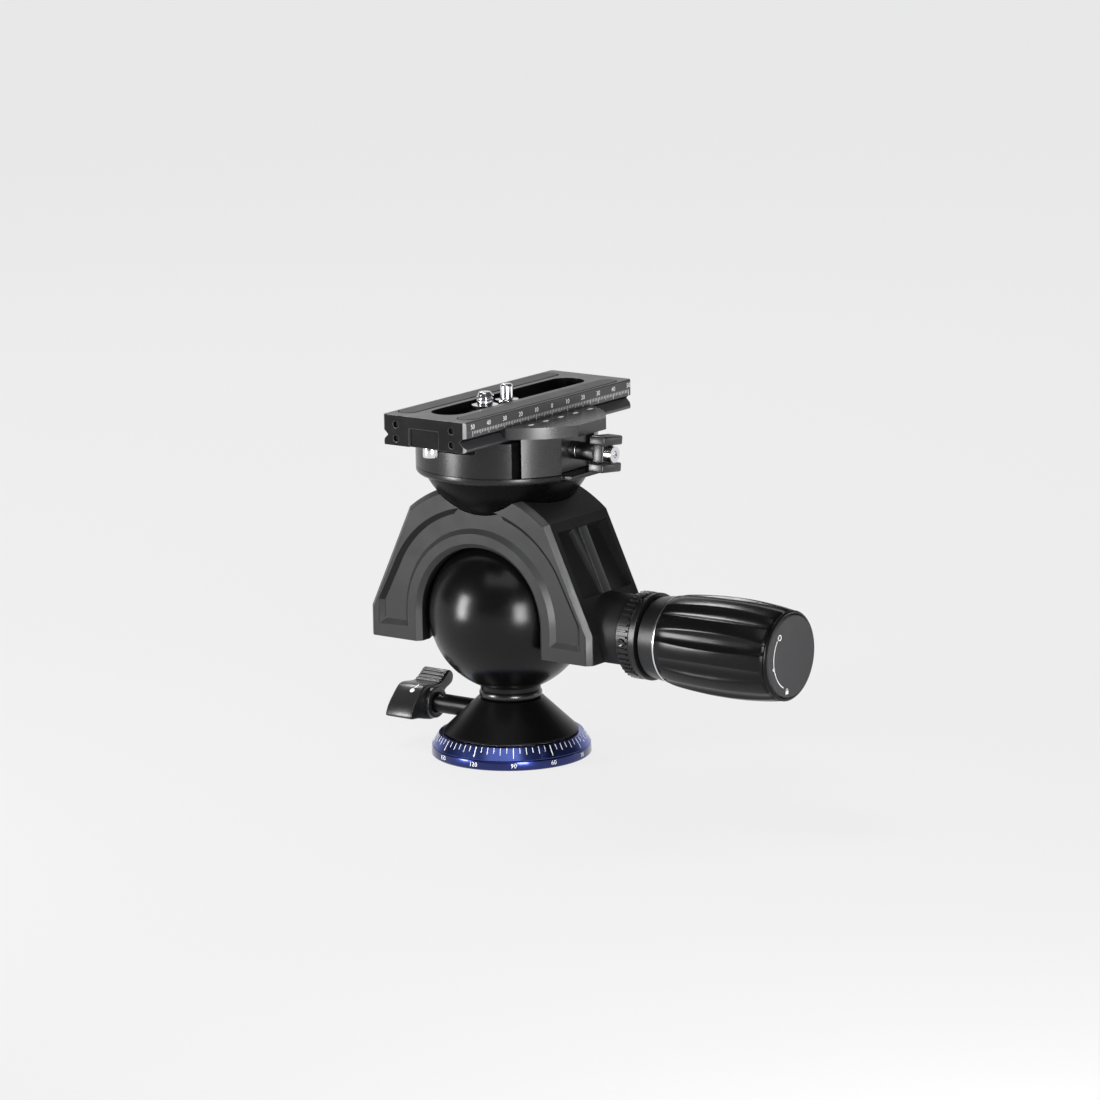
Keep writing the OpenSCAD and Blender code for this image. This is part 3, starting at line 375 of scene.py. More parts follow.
# Cone under the ball: turned aluminium, blasted and anodised black. It turns on the hub
# and holds the pan lock; a loose ring with a rounded edge lies round its neck.
black_satin = finish("black_anodised", (0.0025, 0.0025, 0.0027), 0.32, spec=0.15, cloud=0.2)
coat_node("pan_body", black_satin)
coat_node("ball_bolt", steel)
coat_node("pan_pad", finish("pan_brake_brass", (0.55, 0.40, 0.16), 0.35, metal=1.0))
ring_black = finish("ring_black", (0.004, 0.004, 0.0043), 0.26, spec=0.6, cloud=0.2)
collar = turned([(21.92, 9.05), (21.92, 10.9), (22.15, 11.45), (22.7, 11.85), (23.5, 12.0),
                 (24.3, 11.85), (24.85, 11.45), (25.08, 10.9), (25.08, 9.05)])
fit("neck_ring_turned", collar, "neck", ring_black, "black_satin", "neck_ring", sharp=40.0)


# Ball: an aluminium ball with its neck in one piece, turned, blasted fine and hard anodised
# black. A bolt from below holds it on the cone.
ball_black = finish("ball_black", (0.0025, 0.0025, 0.0027), 0.23, spec=0.24, cloud=0.25,
                    grain=3200.0)
coat_node("ball", ball_black)


# Pan lock: a round black shaft that screws into the cone, with a cast wing pressed on it.
# Ribs run along the raised end of the wing, and a white dot and line mark the way to turn.
PAN_Z = 14.7
coat_node("pan_spindle", black_satin)
wing_black = finish("wing_black", (0.011, 0.011, 0.0115), 0.30, spec=0.5, cloud=0.2)
WING_X, WING_LONG = -37.0, 12.4
wing_section = [
    (14.2, -3.4), (12.9, -0.6), (11.2, 1.6), (9.2, 3.6), (7.2, 5.5), (5.0, 6.9), (2.2, 7.1),
    (-1.5, 6.6), (-4.6, 6.5), (-7.0, 7.6), (-10.6, 10.1), (-12.6, 9.4), (-13.4, 7.4),
    (-12.2, 5.0), (-8.2, 3.2), (-6.8, 0.6), (-6.2, -3.0), (-3.4, -6.1), (0.4, -6.8),
    (4.6, -6.0), (9.0, -4.9), (13.2, -4.4)]


def round_curve(points, parts, closed):
    """A round curve through a run of points, each step of it cut in parts."""
    around = [points[-1], *points, *points[:2]] if closed else [points[0], *points, points[-1]]
    curve = []
    for before, start, end, after in zip(*(around[k:] for k in range(4))):
        a, b, c, d = (Vector(point) for point in (before, start, end, after))
        for part in range(parts):
            t = part / parts
            curve.append(0.5 * (2 * b + (c - a) * t + (2 * a - 5 * b + 4 * c - d) * t * t
                                + (3 * b - a - 3 * c + d) * t ** 3))
    return curve if closed else curve + [Vector(points[-1])]


def rod(bm, radius, long, segments):
    """Adds a round rod along Z, its middle at the origin, and gives its vertices."""
    return bmesh.ops.create_cone(bm, cap_ends=True, segments=segments, radius1=radius,
                                 radius2=radius, depth=long)["verts"]


wing = bmesh.new()
outline = [wing.verts.new((WING_X, -p.x, PAN_Z + p.y))
           for p in round_curve(wing_section, 4, closed=True)]
face = wing.faces.new(outline)
pulled = bmesh.ops.extrude_face_region(wing, geom=[face])["geom"]
bmesh.ops.translate(wing, vec=(-WING_LONG, 0, 0),
                    verts=[v for v in pulled if isinstance(v, bmesh.types.BMVert)])
bmesh.ops.recalc_face_normals(wing, faces=wing.faces)
ease(wing, 0.7, segments=3, sharper_than=60.0)
wing_root = turned([(-37.6, 3.75), (-37.6, 6.1), (-34.8, 6.1), (-34.8, 3.75)], "X", (0, PAN_Z))
join(wing, ease(wing_root, 0.5, 3))
fit("pan_wing_cast", wing, "pan_lock", wing_black, "black_satin", "pan_wing", sharp=40.0)
WING_RIB_X, WING_RIB_R, WING_RIB_LONG = -43.2, 0.55, 11.0
ribs = bmesh.new()
for y, z in ((5.4, 6.75), (6.9, 7.5), (8.4, 8.55), (9.8, 9.5)):
    made = rod(ribs, WING_RIB_R, WING_RIB_LONG, 16)
    lay = Matrix.Translation((WING_RIB_X, y, PAN_Z + z)) @ Matrix.Rotation(math.pi / 2, 4, "Y")
    bmesh.ops.transform(ribs, matrix=lay, verts=made)
fit("pan_wing_ribs", ribs, "pan_lock", wing_black, "black_satin")
wing_slope = Matrix.Rotation(math.atan2(3.3, 4.2), 4, "X")
dot_place = Matrix.Translation((-41.4, -7.4, PAN_Z + 5.38)) @ wing_slope
line_place = (Matrix.Translation((-40.6, -5.6, PAN_Z + 6.62)) @ wing_slope
              @ Matrix.Rotation(math.radians(62), 4, "Z"))
sign = bmesh.new()
bmesh.ops.transform(sign, matrix=dot_place, verts=rod(sign, 0.95, 0.16, 24))
bmesh.ops.transform(sign, matrix=line_place, verts=block(sign, (2.4, 0.45, 0.2)))
fit("pan_wing_mark", sign, "pan_lock", mark_white, "glide_plastic")


# Brake shoes: two plastic shoes inside the housing's legs; the main knob presses one of
# them on the ball and the other backs it.
shoe_plastic = finish("shoe_plastic", (0.52, 0.49, 0.40), 0.5)
coat_node("fixed_shoe", shoe_plastic)
coat_node("moving_shoe", shoe_plastic)


# Housing: an arched aluminium casting, milled and blasted, in matt dark grey. A shallow
# arched recess with sloping walls runs round both faces, and two pockets flank a rib on each side.
def merged_copy(node):
    """A copy of a CAD node's mesh in millimetres, with its loose triangles joined up."""
    bm = bmesh.new()
    bm.from_mesh(nodes[node].data)
    bmesh.ops.scale(bm, vec=(1000, 1000, 1000), verts=bm.verts)
    bmesh.ops.remove_doubles(bm, verts=bm.verts, dist=2e-3)
    return bm


def flatten(bm):
    """Joins flat triangles into whole faces."""
    bmesh.ops.dissolve_limit(bm, angle_limit=math.radians(0.6), use_dissolve_boundaries=False,
                             verts=bm.verts, edges=bm.edges)
    return bm


housing_grey = finish("housing_grey", (0.0115, 0.0116, 0.012), 0.46, spec=0.24, cloud=0.10,
                      grain=2600.0, tooth=0.00002)
# A darker copy of the same grey: painted shade on the sides, the boss and the recess's outer walls.
housing_painted_shade = finish("housing_side_painted_shade", (0.0075, 0.0075, 0.0078), 0.46, spec=0.16, cloud=0.10,
                       grain=2600.0, tooth=0.00002)
# A lighter copy of the same grey: painted highlight on the face chamfers, the recess's walls and
# the ribs.
housing_edge_painted_highlight = finish("housing_edge_painted_highlight", (0.022, 0.0222, 0.0227), 0.38, spec=0.42, cloud=0.08,
                      grain=2600.0)
BALL_Z, KNOB_Z = 55.0, 53.2
SEAT_CENTRE_Z, SEAT_R = 124.5, 34.6
RECESS_FLOOR, RECESS_SLOPE = 18.6, 1.9
RECESS_OUTER_R, RECESS_INNER_R, RECESS_SIDE_X, RECESS_FOOT = 43.0, 33.0, 46.8, -6.1
arch = merged_copy("housing")
for vert in arch.verts:
    by_the_seat = (vert.co - Vector((0, 0, SEAT_CENTRE_Z))).length < SEAT_R + 0.4
    if abs(abs(vert.co.y) - RECESS_FLOOR) > 0.02 or by_the_seat:
        continue
    x, z = abs(vert.co.x), vert.co.z - BALL_Z
    side = math.copysign(1.0, vert.co.x)
    reach = math.hypot(x, z)
    if abs(reach - RECESS_OUTER_R) < 0.05 and z > 18.0:
        vert.co.x *= 1 - RECESS_SLOPE / reach
        vert.co.z -= z * RECESS_SLOPE / reach
    elif abs(reach - RECESS_INNER_R) < 0.05 and z >= -0.01:
        vert.co.x *= 1 + RECESS_SLOPE / reach
        vert.co.z += z * RECESS_SLOPE / reach
    elif abs(x - RECESS_INNER_R) < 0.05 and z < 0:
        vert.co.x += side * RECESS_SLOPE
        vert.co.z += RECESS_SLOPE if z < RECESS_FOOT else 0
    elif abs(x - RECESS_SIDE_X) < 0.05:
        vert.co.x -= side * RECESS_SLOPE
        vert.co.z += RECESS_SLOPE if z < RECESS_FOOT else -0.5
MITRE = (30.789, 20.2, 94.151)  # where the side's chamfer meets the top's on the face
for vert in arch.verts:
    if 30.9 < abs(vert.co.x) < 32.4 and abs(vert.co.y) > 18.4 and 94.4 < vert.co.z < 94.8:
        vert.co = [math.copysign(corner, place) for corner, place in zip(MITRE, vert.co)]
bmesh.ops.remove_doubles(arch, verts=arch.verts, dist=2e-3)
flatten(arch)
SHADE, EDGE = 1, 2  # places in the housing's list of finishes: painted shade and painted highlight
# Faces turned to the sides, the boss, and the recess's outer walls that look in under the top take
# the darker grey as painted shade. The recess's other walls and the face chamfers take the lighter
# grey as painted highlight.
for face in arch.faces:
    middle = face.calc_center_median()
    on_boss = middle.x > 46.0 and math.hypot(middle.y, middle.z - KNOB_Z) < 16.0
    depths = [abs(v.co.y) for v in face.verts]
    if on_boss or abs(face.normal.x) > 0.72 and abs(middle.x) > 30.0:
        face.material_index = SHADE
    elif 0.3 < abs(face.normal.y) < 0.95 and max(depths) > 20.1:
        from_ball = Vector((middle.x, middle.z - BALL_Z))
        outer_wall = min(depths) < RECESS_FLOOR + 0.1 and from_ball.length > 36.0
        looks_in = from_ball.dot((face.normal.x, face.normal.z)) < 0 and middle.z > BALL_Z
        face.material_index = SHADE if outer_wall and looks_in else EDGE


def round_over(bm, width, segments, wanted):
    """Rounds the edges for which wanted(start, end, angle) holds."""
    edges = []
    for edge in bm.edges:
        if edge.is_manifold:
            start, end = (v.co for v in edge.verts)
            if wanted(start, end, math.degrees(edge.calc_face_angle(0.0))):
                edges.append(edge)
    bmesh.ops.bevel(bm, geom=edges, offset=width, offset_type="OFFSET", segments=segments,
                    profile=0.5, affect="EDGES", clamp_overlap=True, material=-1)


def outer_edge(start, end, angle):
    """True for an edge of the chamfer round the outside of both faces."""
    x, z = (start.x + end.x) / 2, (start.z + end.z) / 2
    on_the_faces = min(abs(start.y), abs(end.y)) > 17.0
    return 30 < angle < 62 and on_the_faces and math.hypot(x, z - BALL_Z) > 44.5


def on_the_boss(place):
    """True on the boss, which has its own turned skin."""
    return place.x > 40.0 and math.hypot(place.y, place.z - KNOB_Z) < 16.5


def other_edge(start, end, angle):
    """True for every other sharp edge, apart from those of the boss."""
    return angle > 28 and not on_the_boss(start) and not on_the_boss(end)


round_over(arch, 0.75, 3, outer_edge)
round_over(arch, 0.35, 2, other_edge)
fit("housing_milled", arch, "head", (housing_grey, housing_painted_shade, housing_edge_painted_highlight), "housing_grey",
    "housing", even=True)
LEG_BOTTOM_Z, BOSS_R, BOSS_BORE, BOSS_END = 43.5, 14.56, 9.5, 59.25
boss = turned([(44.0, BOSS_BORE), (44.0, BOSS_R), (BOSS_END - 0.4, BOSS_R), (BOSS_END, 14.2),
               (BOSS_END, BOSS_BORE)], "X", (0, KNOB_Z))
bmesh.ops.bisect_plane(boss, geom=boss.verts[:] + boss.edges[:] + boss.faces[:],
                       plane_co=(0, 0, LEG_BOTTOM_Z + 0.04), plane_no=(0, 0, -1), clear_outer=True)
bmesh.ops.holes_fill(boss, edges=[e for e in boss.edges if e.is_boundary], sides=0)
bmesh.ops.recalc_face_normals(boss, faces=boss.faces)
# The boss takes the darker grey as painted shade.
fit("housing_boss", boss, "head", housing_painted_shade, "housing_grey", sharp=25.0)
BAR_THICK, BAR_WIDE, BAR_LONG = 0.55, 2.7, 26.0
slanted_side = (Matrix.Translation((51.4, 0, 54.9))
                @ Matrix.Rotation(math.atan2(-18.8, 40.1), 4, "Y"))
up_the_side = Matrix.Translation((-0.1, 0, 27.2))
bars = bmesh.new()
for side in (-1, 1):
    made = rod(bars, 1.0, BAR_LONG, 24)
    bmesh.ops.scale(bars, vec=(BAR_THICK, BAR_WIDE, 1.0), verts=made)
    mirror = Matrix.Diagonal((side, 1, 1, 1))
    bmesh.ops.transform(bars, matrix=mirror @ slanted_side @ up_the_side, verts=made)
bmesh.ops.recalc_face_normals(bars, faces=bars.faces)
# The ribs take the lighter grey as painted highlight.
fit("housing_ribs", bars, "head", housing_edge_painted_highlight, "housing_grey", sharp=50.0)


# Bowl and clamp: a round-bottomed black bowl bolted in the housing's seat, and on it the
# clamp with its fixed jaw, both turned and milled from aluminium and anodised black.
bowl_black = finish("bowl_black", (0.0018, 0.0018, 0.0019), 0.28, spec=0.06, cloud=0.2)
clamp_black = finish("clamp_black", (0.005, 0.005, 0.0052), 0.27, spec=0.34, cloud=0.15)
FLANGE_Z = 109.4
bowl = flatten(merged_copy("bowl"))
# The flange's faces take the clamp's lighter, glossier black: a painted highlight line along the
# flange.
for face in bowl.faces:
    if face.calc_center_median().z > FLANGE_Z:
        face.material_index = 1
fit("bowl_turned", ease(bowl, 0.4), "head", (bowl_black, clamp_black), "black_satin", "bowl",
    even=True)
fit("clamp_base_milled", ease(flatten(merged_copy("clamp_base")), 0.3), "head", clamp_black,
    "black_satin", "clamp_base", even=True)
coat_node("clamp_bolt", steel)
coat_node("jaw_pins", steel)


# Moving jaw: milled aluminium, anodised black, sliding on two steel pins. Small pale
# marks are filled in along its top face beside the plate.
# Lighter and glossier than the clamp's black: painted highlight on the jaw's top and front.
jaw_black_painted_highlight = finish("jaw_black_painted_highlight", (0.014, 0.014, 0.0145), 0.28, spec=0.6, cloud=0.12)
fit("jaw_milled", ease(flatten(merged_copy("jaw")), 0.35), "clamp_jaw", jaw_black_painted_highlight, "black_satin",
    "jaw", even=True)
MARK_X, FIRST_MARK_Y, MARK_STEP, MARK_Z = 24.1, -17.6, 9.5, 131.71
marks = bmesh.new()
for step in range(5):
    made = rod(marks, 1.0, 0.06, 20)
    bmesh.ops.scale(marks, vec=(0.85, 1.55, 1.0), verts=made)
    bmesh.ops.translate(marks, vec=(MARK_X, FIRST_MARK_Y + step * MARK_STEP, MARK_Z), verts=made)
fit("jaw_marks", marks, "clamp_jaw", mark_white, "glide_plastic")


# Clamp knob: a bright steel screw through the jaw, with two black wings held by a bright
# socket screw.
chrome = finish("bright_steel", (0.74, 0.74, 0.76), 0.16, metal=1.0, cloud=0.06, grain=1500.0,
                tooth=0.000004)
CLAMP_Z, CLAMP_SCREW_R, CLAMP_COLLAR_R, WINGS_X = 120.2, 2.5, 3.4, 41.7
shaft = turned([(11.5, 0), (11.5, CLAMP_SCREW_R), (30.7, CLAMP_SCREW_R), (30.7, CLAMP_COLLAR_R),
                (33.4, CLAMP_COLLAR_R), (33.6, 3.15), (34.0, 3.15), (34.2, CLAMP_COLLAR_R),
                (WINGS_X, CLAMP_COLLAR_R), (WINGS_X, CLAMP_SCREW_R), (45.2, CLAMP_SCREW_R),
                (45.2, 0)], "X", (0, CLAMP_Z), 48)
screw_steel = finish("screw_steel", (0.20, 0.20, 0.205), 0.30, metal=1.0, cloud=0.06,
                     grain=1500.0)
fit("clamp_screw_turned", ease(shaft, 0.15), "clamp_knob", screw_steel, "chrome", "clamp_screw")
WINGS_TURN = math.radians(-6)
wings = bmesh.new()
for size, z in (((7.0, 12.2, 3.5), 5.05), ((7.0, 12.2, 3.5), -5.05), ((4.8, 6.8, 9.6), 0.0)):
    bmesh.ops.translate(wings, vec=(WINGS_X + size[0] / 2, 0, z), verts=block(wings, size))
ease(wings, 0.7, segments=3)
wings_place = Matrix.Translation((0, 0, CLAMP_Z)) @ Matrix.Rotation(WINGS_TURN, 4, "X")
bmesh.ops.transform(wings, matrix=wings_place, verts=wings.verts)
fit("clamp_wings_milled", wings, "clamp_knob", wing_black, "black_satin", "clamp_wings", sharp=45.0)
coat_node("wing_screw", chrome)


# Drag ring: a black ring that turns on the housing's nose. Short ridges run round its
# inner half, a groove parts off its rim, and a small set screw sits in its face.
knob_satin = finish("knob_satin", (0.005, 0.005, 0.0053), 0.33, spec=0.36, cloud=0.15)
drag = turned([(59.6, 9.05), (59.6, 15.4), (59.9, 15.75), (65.0, 15.75), (65.3, 15.6),
               (65.8, 15.6), (66.05, 16.4), (67.7, 16.45), (68.1, 16.1), (68.1, 9.05)],
              "X", (0, KNOB_Z))
fit("friction_ring_turned", drag, "drag_ring", knob_satin, "black_satin", "friction_ring",
    sharp=25.0)
RIDGES, RIDGE_X, RIDGE_R = 44, 62.5, 15.84
ridges = bmesh.new()
made = block(ridges, (4.4, 1.05, 1.2))
bmesh.ops.translate(ridges, vec=(RIDGE_X, 0, RIDGE_R), verts=made)
for vert in made:
    if vert.co.z > RIDGE_R:
        vert.co.y *= 0.6
        vert.co.x += 0.25 if vert.co.x < RIDGE_X else -0.25
bmesh.ops.spin(ridges, geom=ridges.verts[:] + ridges.edges[:] + ridges.faces[:], cent=(0, 0, 0),
               axis=(1, 0, 0), angle=2 * math.pi * (RIDGES - 1) / RIDGES, steps=RIDGES - 1,
               use_duplicate=True)
bmesh.ops.translate(ridges, vec=(0, 0, KNOB_Z), verts=ridges.verts)
fit("friction_ring_ridges", ridges, "drag_ring", knob_satin, "black_satin")
socket = turned([(0, 0), (0, 0.55), (0.5, 0.62), (0.62, 0.9), (0.62, 1.35), (0.3, 1.55),
                 (-0.3, 1.6), (-0.3, 0)], "Z", (0, 0), 32)
socket_place = (Matrix.Translation((62.3, -15.85, KNOB_Z + 0.1))
                @ Matrix.Rotation(math.pi / 2, 4, "X"))
bmesh.ops.transform(socket, matrix=socket_place, verts=socket.verts)
fit("friction_ring_screw", socket, "drag_ring", ring_black, "steel")


# Main knob: a smooth black sleeve and a thin bright ring, then a long fluted grip of glossy
# black plastic over an aluminium core, closed by a narrow ring and a flat grey cap.
CORE_R, CORE_END = 11.5, 120.4
core = turned([(68.55, 5.0), (68.55, 12.0), (69.2, 12.0), (69.2, 14.9), (69.5, 15.25),
               (76.1, 16.25), (76.4, 16.0), (76.4, CORE_R), (CORE_END, CORE_R), (CORE_END, 5.0)],
              "X", (0, KNOB_Z))
fit("knob_core_turned", core, "main_knob", knob_satin, "black_satin", "knob_core", sharp=25.0)
coat_node("main_spindle", steel)
bright_line = turned([(76.4, CORE_R), (76.4, 16.2), (76.6, 16.45), (76.9, 16.5), (77.1, 16.3),
                      (77.1, CORE_R)], "X", (0, KNOB_Z))
fit("line_ring_turned", bright_line, "main_knob", chrome, "bright_ring", "line_ring")
GRIP_X, GRIP_END, GRIP_R, CAP_SEAT_R = 77.1, 125.4, 18.6, 15.7
grip_run = [(0.0, 16.2), (0.4, 16.5), (4.0, 17.3), (11.0, 18.0), (17.9, 18.45), (24.1, GRIP_R),
            (29.0, GRIP_R), (33.8, 18.4), (38.6, 18.05), (43.5, 17.55), (46.9, 17.0),
            (47.5, 16.7), (48.3, 15.9)]
grip_skin = [(GRIP_X + along, radius)
             for along, radius in round_curve(grip_run, 4, closed=False)]
grip = turned([(GRIP_X, CORE_R)] + grip_skin
              + [(GRIP_END, CAP_SEAT_R), (CORE_END, CAP_SEAT_R), (CORE_END, CORE_R)],
              "X", (0, KNOB_Z), 240)
FLUTE_STEP, FLUTE_DEEP, CUTTER_R = 36.0, 1.3, 5.6
INNER_ROW, OUTER_ROW, LIP_HALF = 9.0, 10.5, 0.6  # degrees: the rows of points beside a flute's lip
for vert in grip.verts:
    y, z = vert.co.y, vert.co.z - KNOB_Z
    radius = math.hypot(y, z)
    if radius < CAP_SEAT_R + 0.02:
        continue
    run = max(0.0, math.sin(math.pi * (vert.co.x - GRIP_X) / (GRIP_END - GRIP_X)))
    reach = radius + CUTTER_R - FLUTE_DEEP * (0.42 + 0.58 * run)
    turn = math.degrees(math.atan2(z, -y))
    half = FLUTE_STEP / 2
    flute = FLUTE_STEP * round((turn - half) / FLUTE_STEP) + half
    off = turn - flute
    lip = math.degrees(math.acos((radius ** 2 + reach ** 2 - CUTTER_R ** 2)
                                 / (2 * radius * reach)))
    if abs(off) < (INNER_ROW + OUTER_ROW) / 2:
        spread = abs(off) / INNER_ROW * (lip - LIP_HALF)
    else:
        past_lip = (abs(off) - OUTER_ROW) / (half - OUTER_ROW)
        spread = lip + LIP_HALF + past_lip * (half - lip - LIP_HALF)
    along = reach * math.cos(math.radians(spread))
    across = reach * math.sin(math.radians(spread))
    if abs(across) < CUTTER_R:
        radius = min(radius, along - math.sqrt(CUTTER_R ** 2 - across ** 2))
    turn = math.radians(flute + math.copysign(spread, off))
    vert.co.y, vert.co.z = -radius * math.cos(turn), KNOB_Z + radius * math.sin(turn)
grip_black = finish("grip_black", (0.003, 0.003, 0.0032), 0.22, spec=0.19, cloud=0.15)
fit("knob_grip_fluted", grip, "main_knob", grip_black, "gloss_black", "knob_grip", sharp=60.0)
rim_run = [(0.0, CAP_SEAT_R), (0.0, 15.95), (0.15, 16.4), (0.45, 16.75), (0.75, 16.8),
           (1.1, 16.5), (1.25, 16.2), (1.3, CAP_SEAT_R)]
rim = turned([(GRIP_END + along, radius) for along, radius in rim_run], "X", (0, KNOB_Z))
fit("knob_bezel_turned", rim, "main_knob", grip_black, "gloss_black", "knob_bezel", sharp=50.0)
cap_grey = finish("cap_grey", (0.045, 0.045, 0.047), 0.5, spec=0.2, cloud=0.08)
CAP_X, CAP_R, CAP_DISH = 127.5, 15.3, 0.12
cap = turned([(CORE_END, 0), (CORE_END, CAP_R), (126.9, CAP_R), (127.35, 15.1), (CAP_X, 14.8),
              (CAP_X - CAP_DISH, 14.4), (CAP_X - CAP_DISH, 0)], "X", (0, KNOB_Z))
fit("knob_cap_turned", cap, "main_knob", cap_grey, "cap_grey", "knob_cap", sharp=25.0)
SIGN_BACK, SIGN_TOP = CAP_X - 0.2, CAP_X - 0.06


def printed_ring(y, z, inner, outer):
    """A flat ring on the cap; y and z are from the cap's middle."""
    return turned([(SIGN_BACK, inner), (SIGN_TOP, inner), (SIGN_TOP, outer), (SIGN_BACK, outer)],
                  "X", (y, KNOB_Z + z), 24)


ARC_INNER, ARC_OUTER, ARC_START, ARC_SWEEP = 11.95, 12.35, math.radians(-38), math.radians(100)
signs = bmesh.new()
join(signs, printed_ring(-8.0, 8.4, 0.75, 1.15))
join(signs, printed_ring(-12.1, -2.7, 0.0, 0.65))
arc = bmesh.new()
arc_ends = [arc.verts.new((SIGN_TOP, -r, 0)) for r in (ARC_INNER, ARC_OUTER)]
arc_edge = arc.edges.new(arc_ends)
bmesh.ops.rotate(arc, cent=(0, 0, 0), matrix=Matrix.Rotation(ARC_START, 3, "X"), verts=arc.verts)
bmesh.ops.spin(arc, geom=arc_ends + [arc_edge], cent=(0, 0, 0), axis=(1, 0, 0), angle=ARC_SWEEP,
               steps=28)
bmesh.ops.translate(arc, vec=(0, 0, KNOB_Z), verts=arc.verts)
join(signs, arc)
bmesh.ops.translate(signs, vec=(CAP_X - 0.1, -3.4, KNOB_Z - 12.9),
                    verts=block(signs, (0.1, 1.7, 1.3)))
join(signs, printed_ring(-3.4, -12.1, 0.45, 0.72))
fit("knob_cap_marks", signs, "main_knob", mark_white, "glide_plastic")


# Camera plate: an aluminium bar with dovetail sides and a long slot, milled and anodised
# dark grey. A millimetre scale is printed along one side.
plate_grey = finish("plate_grey", (0.034, 0.034, 0.036), 0.36, spec=0.70, cloud=0.08, grain=2600.0)
# A near-black copy of the plate's grey: painted shade on the plate's end faces and inside its slot.
plate_end_painted_shade = finish("plate_end_painted_shade", (0.004, 0.004, 0.0042), 0.5, spec=0.05, cloud=0.15)
PLATE_SIDE, PLATE_Y = 19.0, 1.8
plate = ease(flatten(merged_copy("plate")), 0.24)
# The end faces and the faces inside the slot take the near-black as painted shade.
for face in plate.faces:
    middle = face.calc_center_median()
    at_end = abs(face.normal.y) > 0.95 and not -50 < middle.y < 54
    inside = abs(middle.x) < 17.7 and -51 < middle.y < 54.6 and 126.2 < middle.z < 137.2
    if at_end or inside:
        face.material_index = 1
fit("plate_milled", plate, "camera_plate", (plate_grey, plate_end_painted_shade), "plate_grey", "plate",
    even=True)
coat_node("end_screws", finish("black_oxide", (0.003, 0.003, 0.003), 0.5, spec=0.06))
band_grey = finish("band_grey", (0.055, 0.055, 0.056), 0.5, spec=0.3)
band = bmesh.new()
bmesh.ops.translate(band, vec=(PLATE_SIDE - 0.01, PLATE_Y, 135.3),
                    verts=block(band, (0.04, 104.6, 2.6)))
fit("plate_scale_band", band, "camera_plate", band_grey, "plate_grey")
SIDE_SCALE_Y, SIDE_FIGURE_TALL, SIDE_FIGURE_Z, TICK_TOP = -47.0, 1.7, 135.2, 133.6
side_figures = bmesh.new()
for ten in range(11):
    number = lettering(str(abs(50 - ten * 10)), SIDE_FIGURE_TALL)
    for vert in number.verts:
        vert.co = (PLATE_SIDE + 0.02 + vert.co.z, SIDE_SCALE_Y + ten * 10 + vert.co.x,
                   SIDE_FIGURE_Z + vert.co.y)
    join(side_figures, number)
for mm in range(101):
    tall = 2.0 if mm % 10 == 0 else 1.6 if mm % 5 == 0 else 1.1
    bmesh.ops.translate(side_figures, vec=(PLATE_SIDE, SIDE_SCALE_Y + mm, TICK_TOP - tall / 2),
                        verts=block(side_figures, (0.04, 0.22, tall)))
fit("plate_scale_figures", side_figures, "camera_plate", mark_white, "glide_plastic")


# Pads and stops: two rubber strips let into the plate's top, and a bright stop pin screwed
# in under each end so that the plate can't slide out of the clamp.
rubber = finish("pad_rubber", (0.085, 0.085, 0.085), 0.62, spec=0.35, cloud=0.12, grain=1400.0,
                tooth=0.00005)
pad_gap = Matrix.Diagonal((0.90, 0.992, 1, 1))  # leaves a thin gap round each pad
for pad, pad_x in (("pad_left", -13.6), ("pad_right", 13.6)):
    strip = flatten(merged_copy(pad))
    middle = Matrix.Translation((pad_x, PLATE_Y, 0))
    bmesh.ops.transform(strip, matrix=middle @ pad_gap @ middle.inverted(), verts=strip.verts)
    fit(pad + "_moulded", ease(strip, 0.18), "camera_plate", rubber, "rubber", pad, even=True)
STOP_R, STOP_THREAD_R = 3.0, 1.5
stops = bmesh.new()
for y in (-47.4, 51.0):
    stop = turned([(122.1, 0), (122.1, STOP_R), (125.9, STOP_R), (125.9, STOP_THREAD_R),
                   (128.9, STOP_THREAD_R), (128.9, 0)], "Z", (0, y), 48)
    join(stops, ease(stop, 0.3))
fit("stop_pins_turned", stops, "camera_plate", chrome, "chrome", "stop_pins")


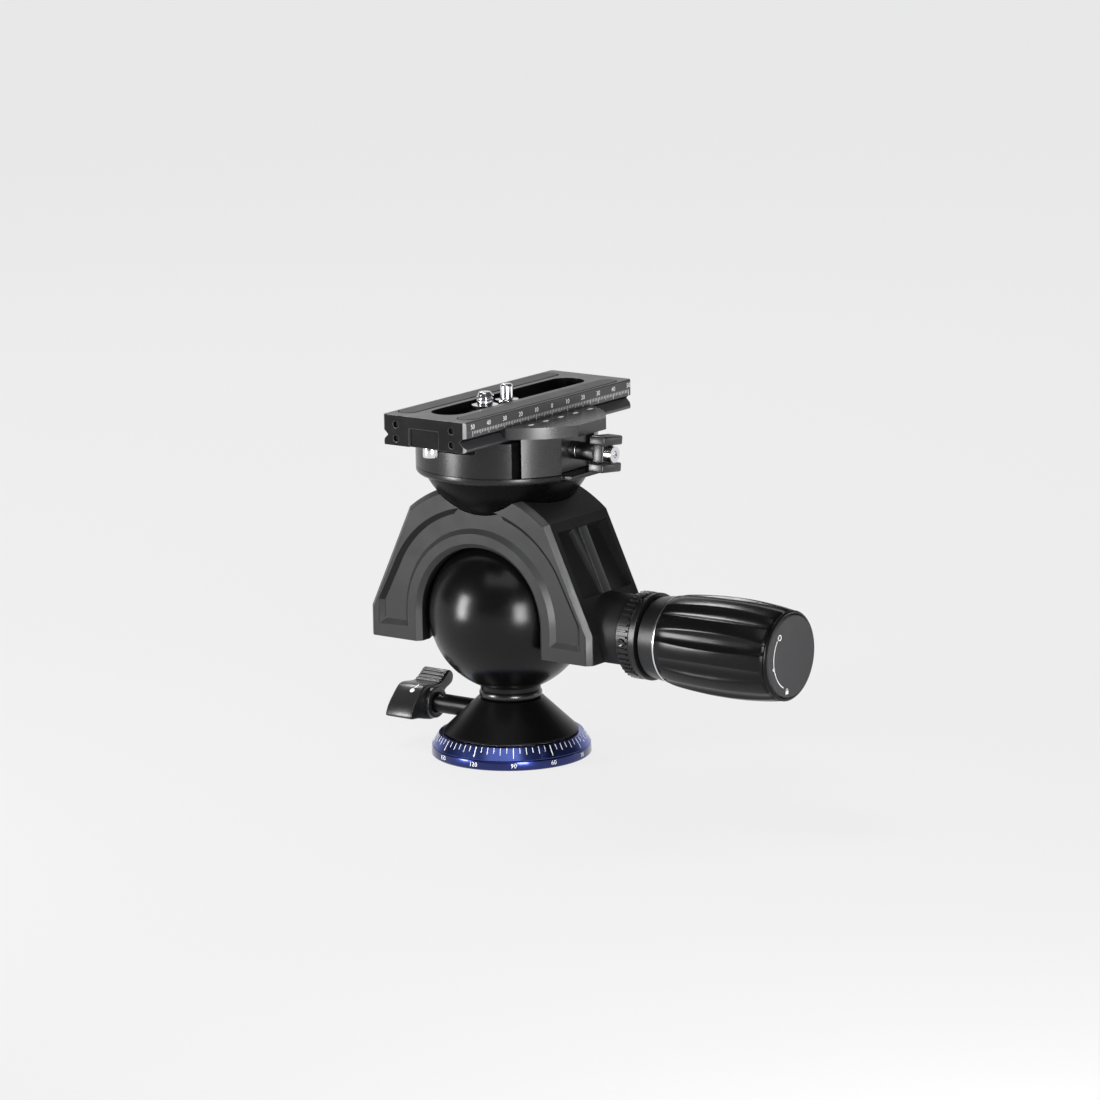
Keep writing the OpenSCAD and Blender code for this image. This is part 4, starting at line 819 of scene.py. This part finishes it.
# Camera screw: a bright quarter-inch screw of turned steel that turns in a slider in the
# plate's slot. Its thread starts above a plain neck.
CAM_Y, PITCH, TURNS, TURN_STEPS = -13.4, 1.27, 2.3, 32
THREAD_Z, THREAD_ROOT_R, THREAD_R = 136.75, 2.55, 3.175
coat_node("screw_slider", chrome)
screw = turned([(126.3, 0), (126.3, 6.1), (128.1, 6.1), (128.1, 3.0), (136.8, 2.95), (140.6, 2.6),
                (141.4, 2.1), (141.4, 0)], "Z", (0, CAM_Y), 48)
ease(screw, 0.15)
thread = bmesh.new()
tooth_run = [(THREAD_ROOT_R, THREAD_Z), (THREAD_R, THREAD_Z + 0.5), (THREAD_R, THREAD_Z + 0.7),
             (THREAD_ROOT_R, THREAD_Z + PITCH)]
tooth = [thread.verts.new((radius, 0, z)) for radius, z in tooth_run]
flanks = [thread.edges.new(pair) for pair in zip(tooth, tooth[1:])]
bmesh.ops.spin(thread, geom=tooth + flanks, cent=(0, 0, 0), axis=(0, 0, 1),
               dvec=(0, 0, PITCH / TURN_STEPS), angle=2 * math.pi * TURNS,
               steps=int(TURN_STEPS * TURNS))
bmesh.ops.translate(thread, vec=(0, CAM_Y, 0), verts=thread.verts)
bmesh.ops.remove_doubles(thread, verts=thread.verts, dist=1e-3)
bmesh.ops.recalc_face_normals(thread, faces=thread.faces)
join(screw, thread)
fit("camera_screw_threaded", screw, "plate_screw", chrome, "chrome", "camera_screw", sharp=40.0)


# Video pin: a bright steel pin with a flange, pressed into its own slider in the slot. It
# keeps a camera from turning on its screw.
PIN_Y, PIN_R, PIN_FLANGE_R = 0.4, 2.4, 4.5
coat_node("pin_slider", chrome)
pin = turned([(128.5, 0), (128.5, PIN_R), (134.3, PIN_R), (134.3, PIN_FLANGE_R),
              (136.5, PIN_FLANGE_R), (136.5, PIN_R), (141.6, PIN_R), (142.3, 1.7), (142.3, 0)],
             "Z", (0, PIN_Y), 48)
fit("video_pin_turned", ease(pin, 0.2), "pin_carriage", chrome, "chrome", "video_pin")


# Closing: colours are shown as they are written.
bpy.context.scene.view_settings.view_transform = "Standard"
bpy.context.view_layer.update()
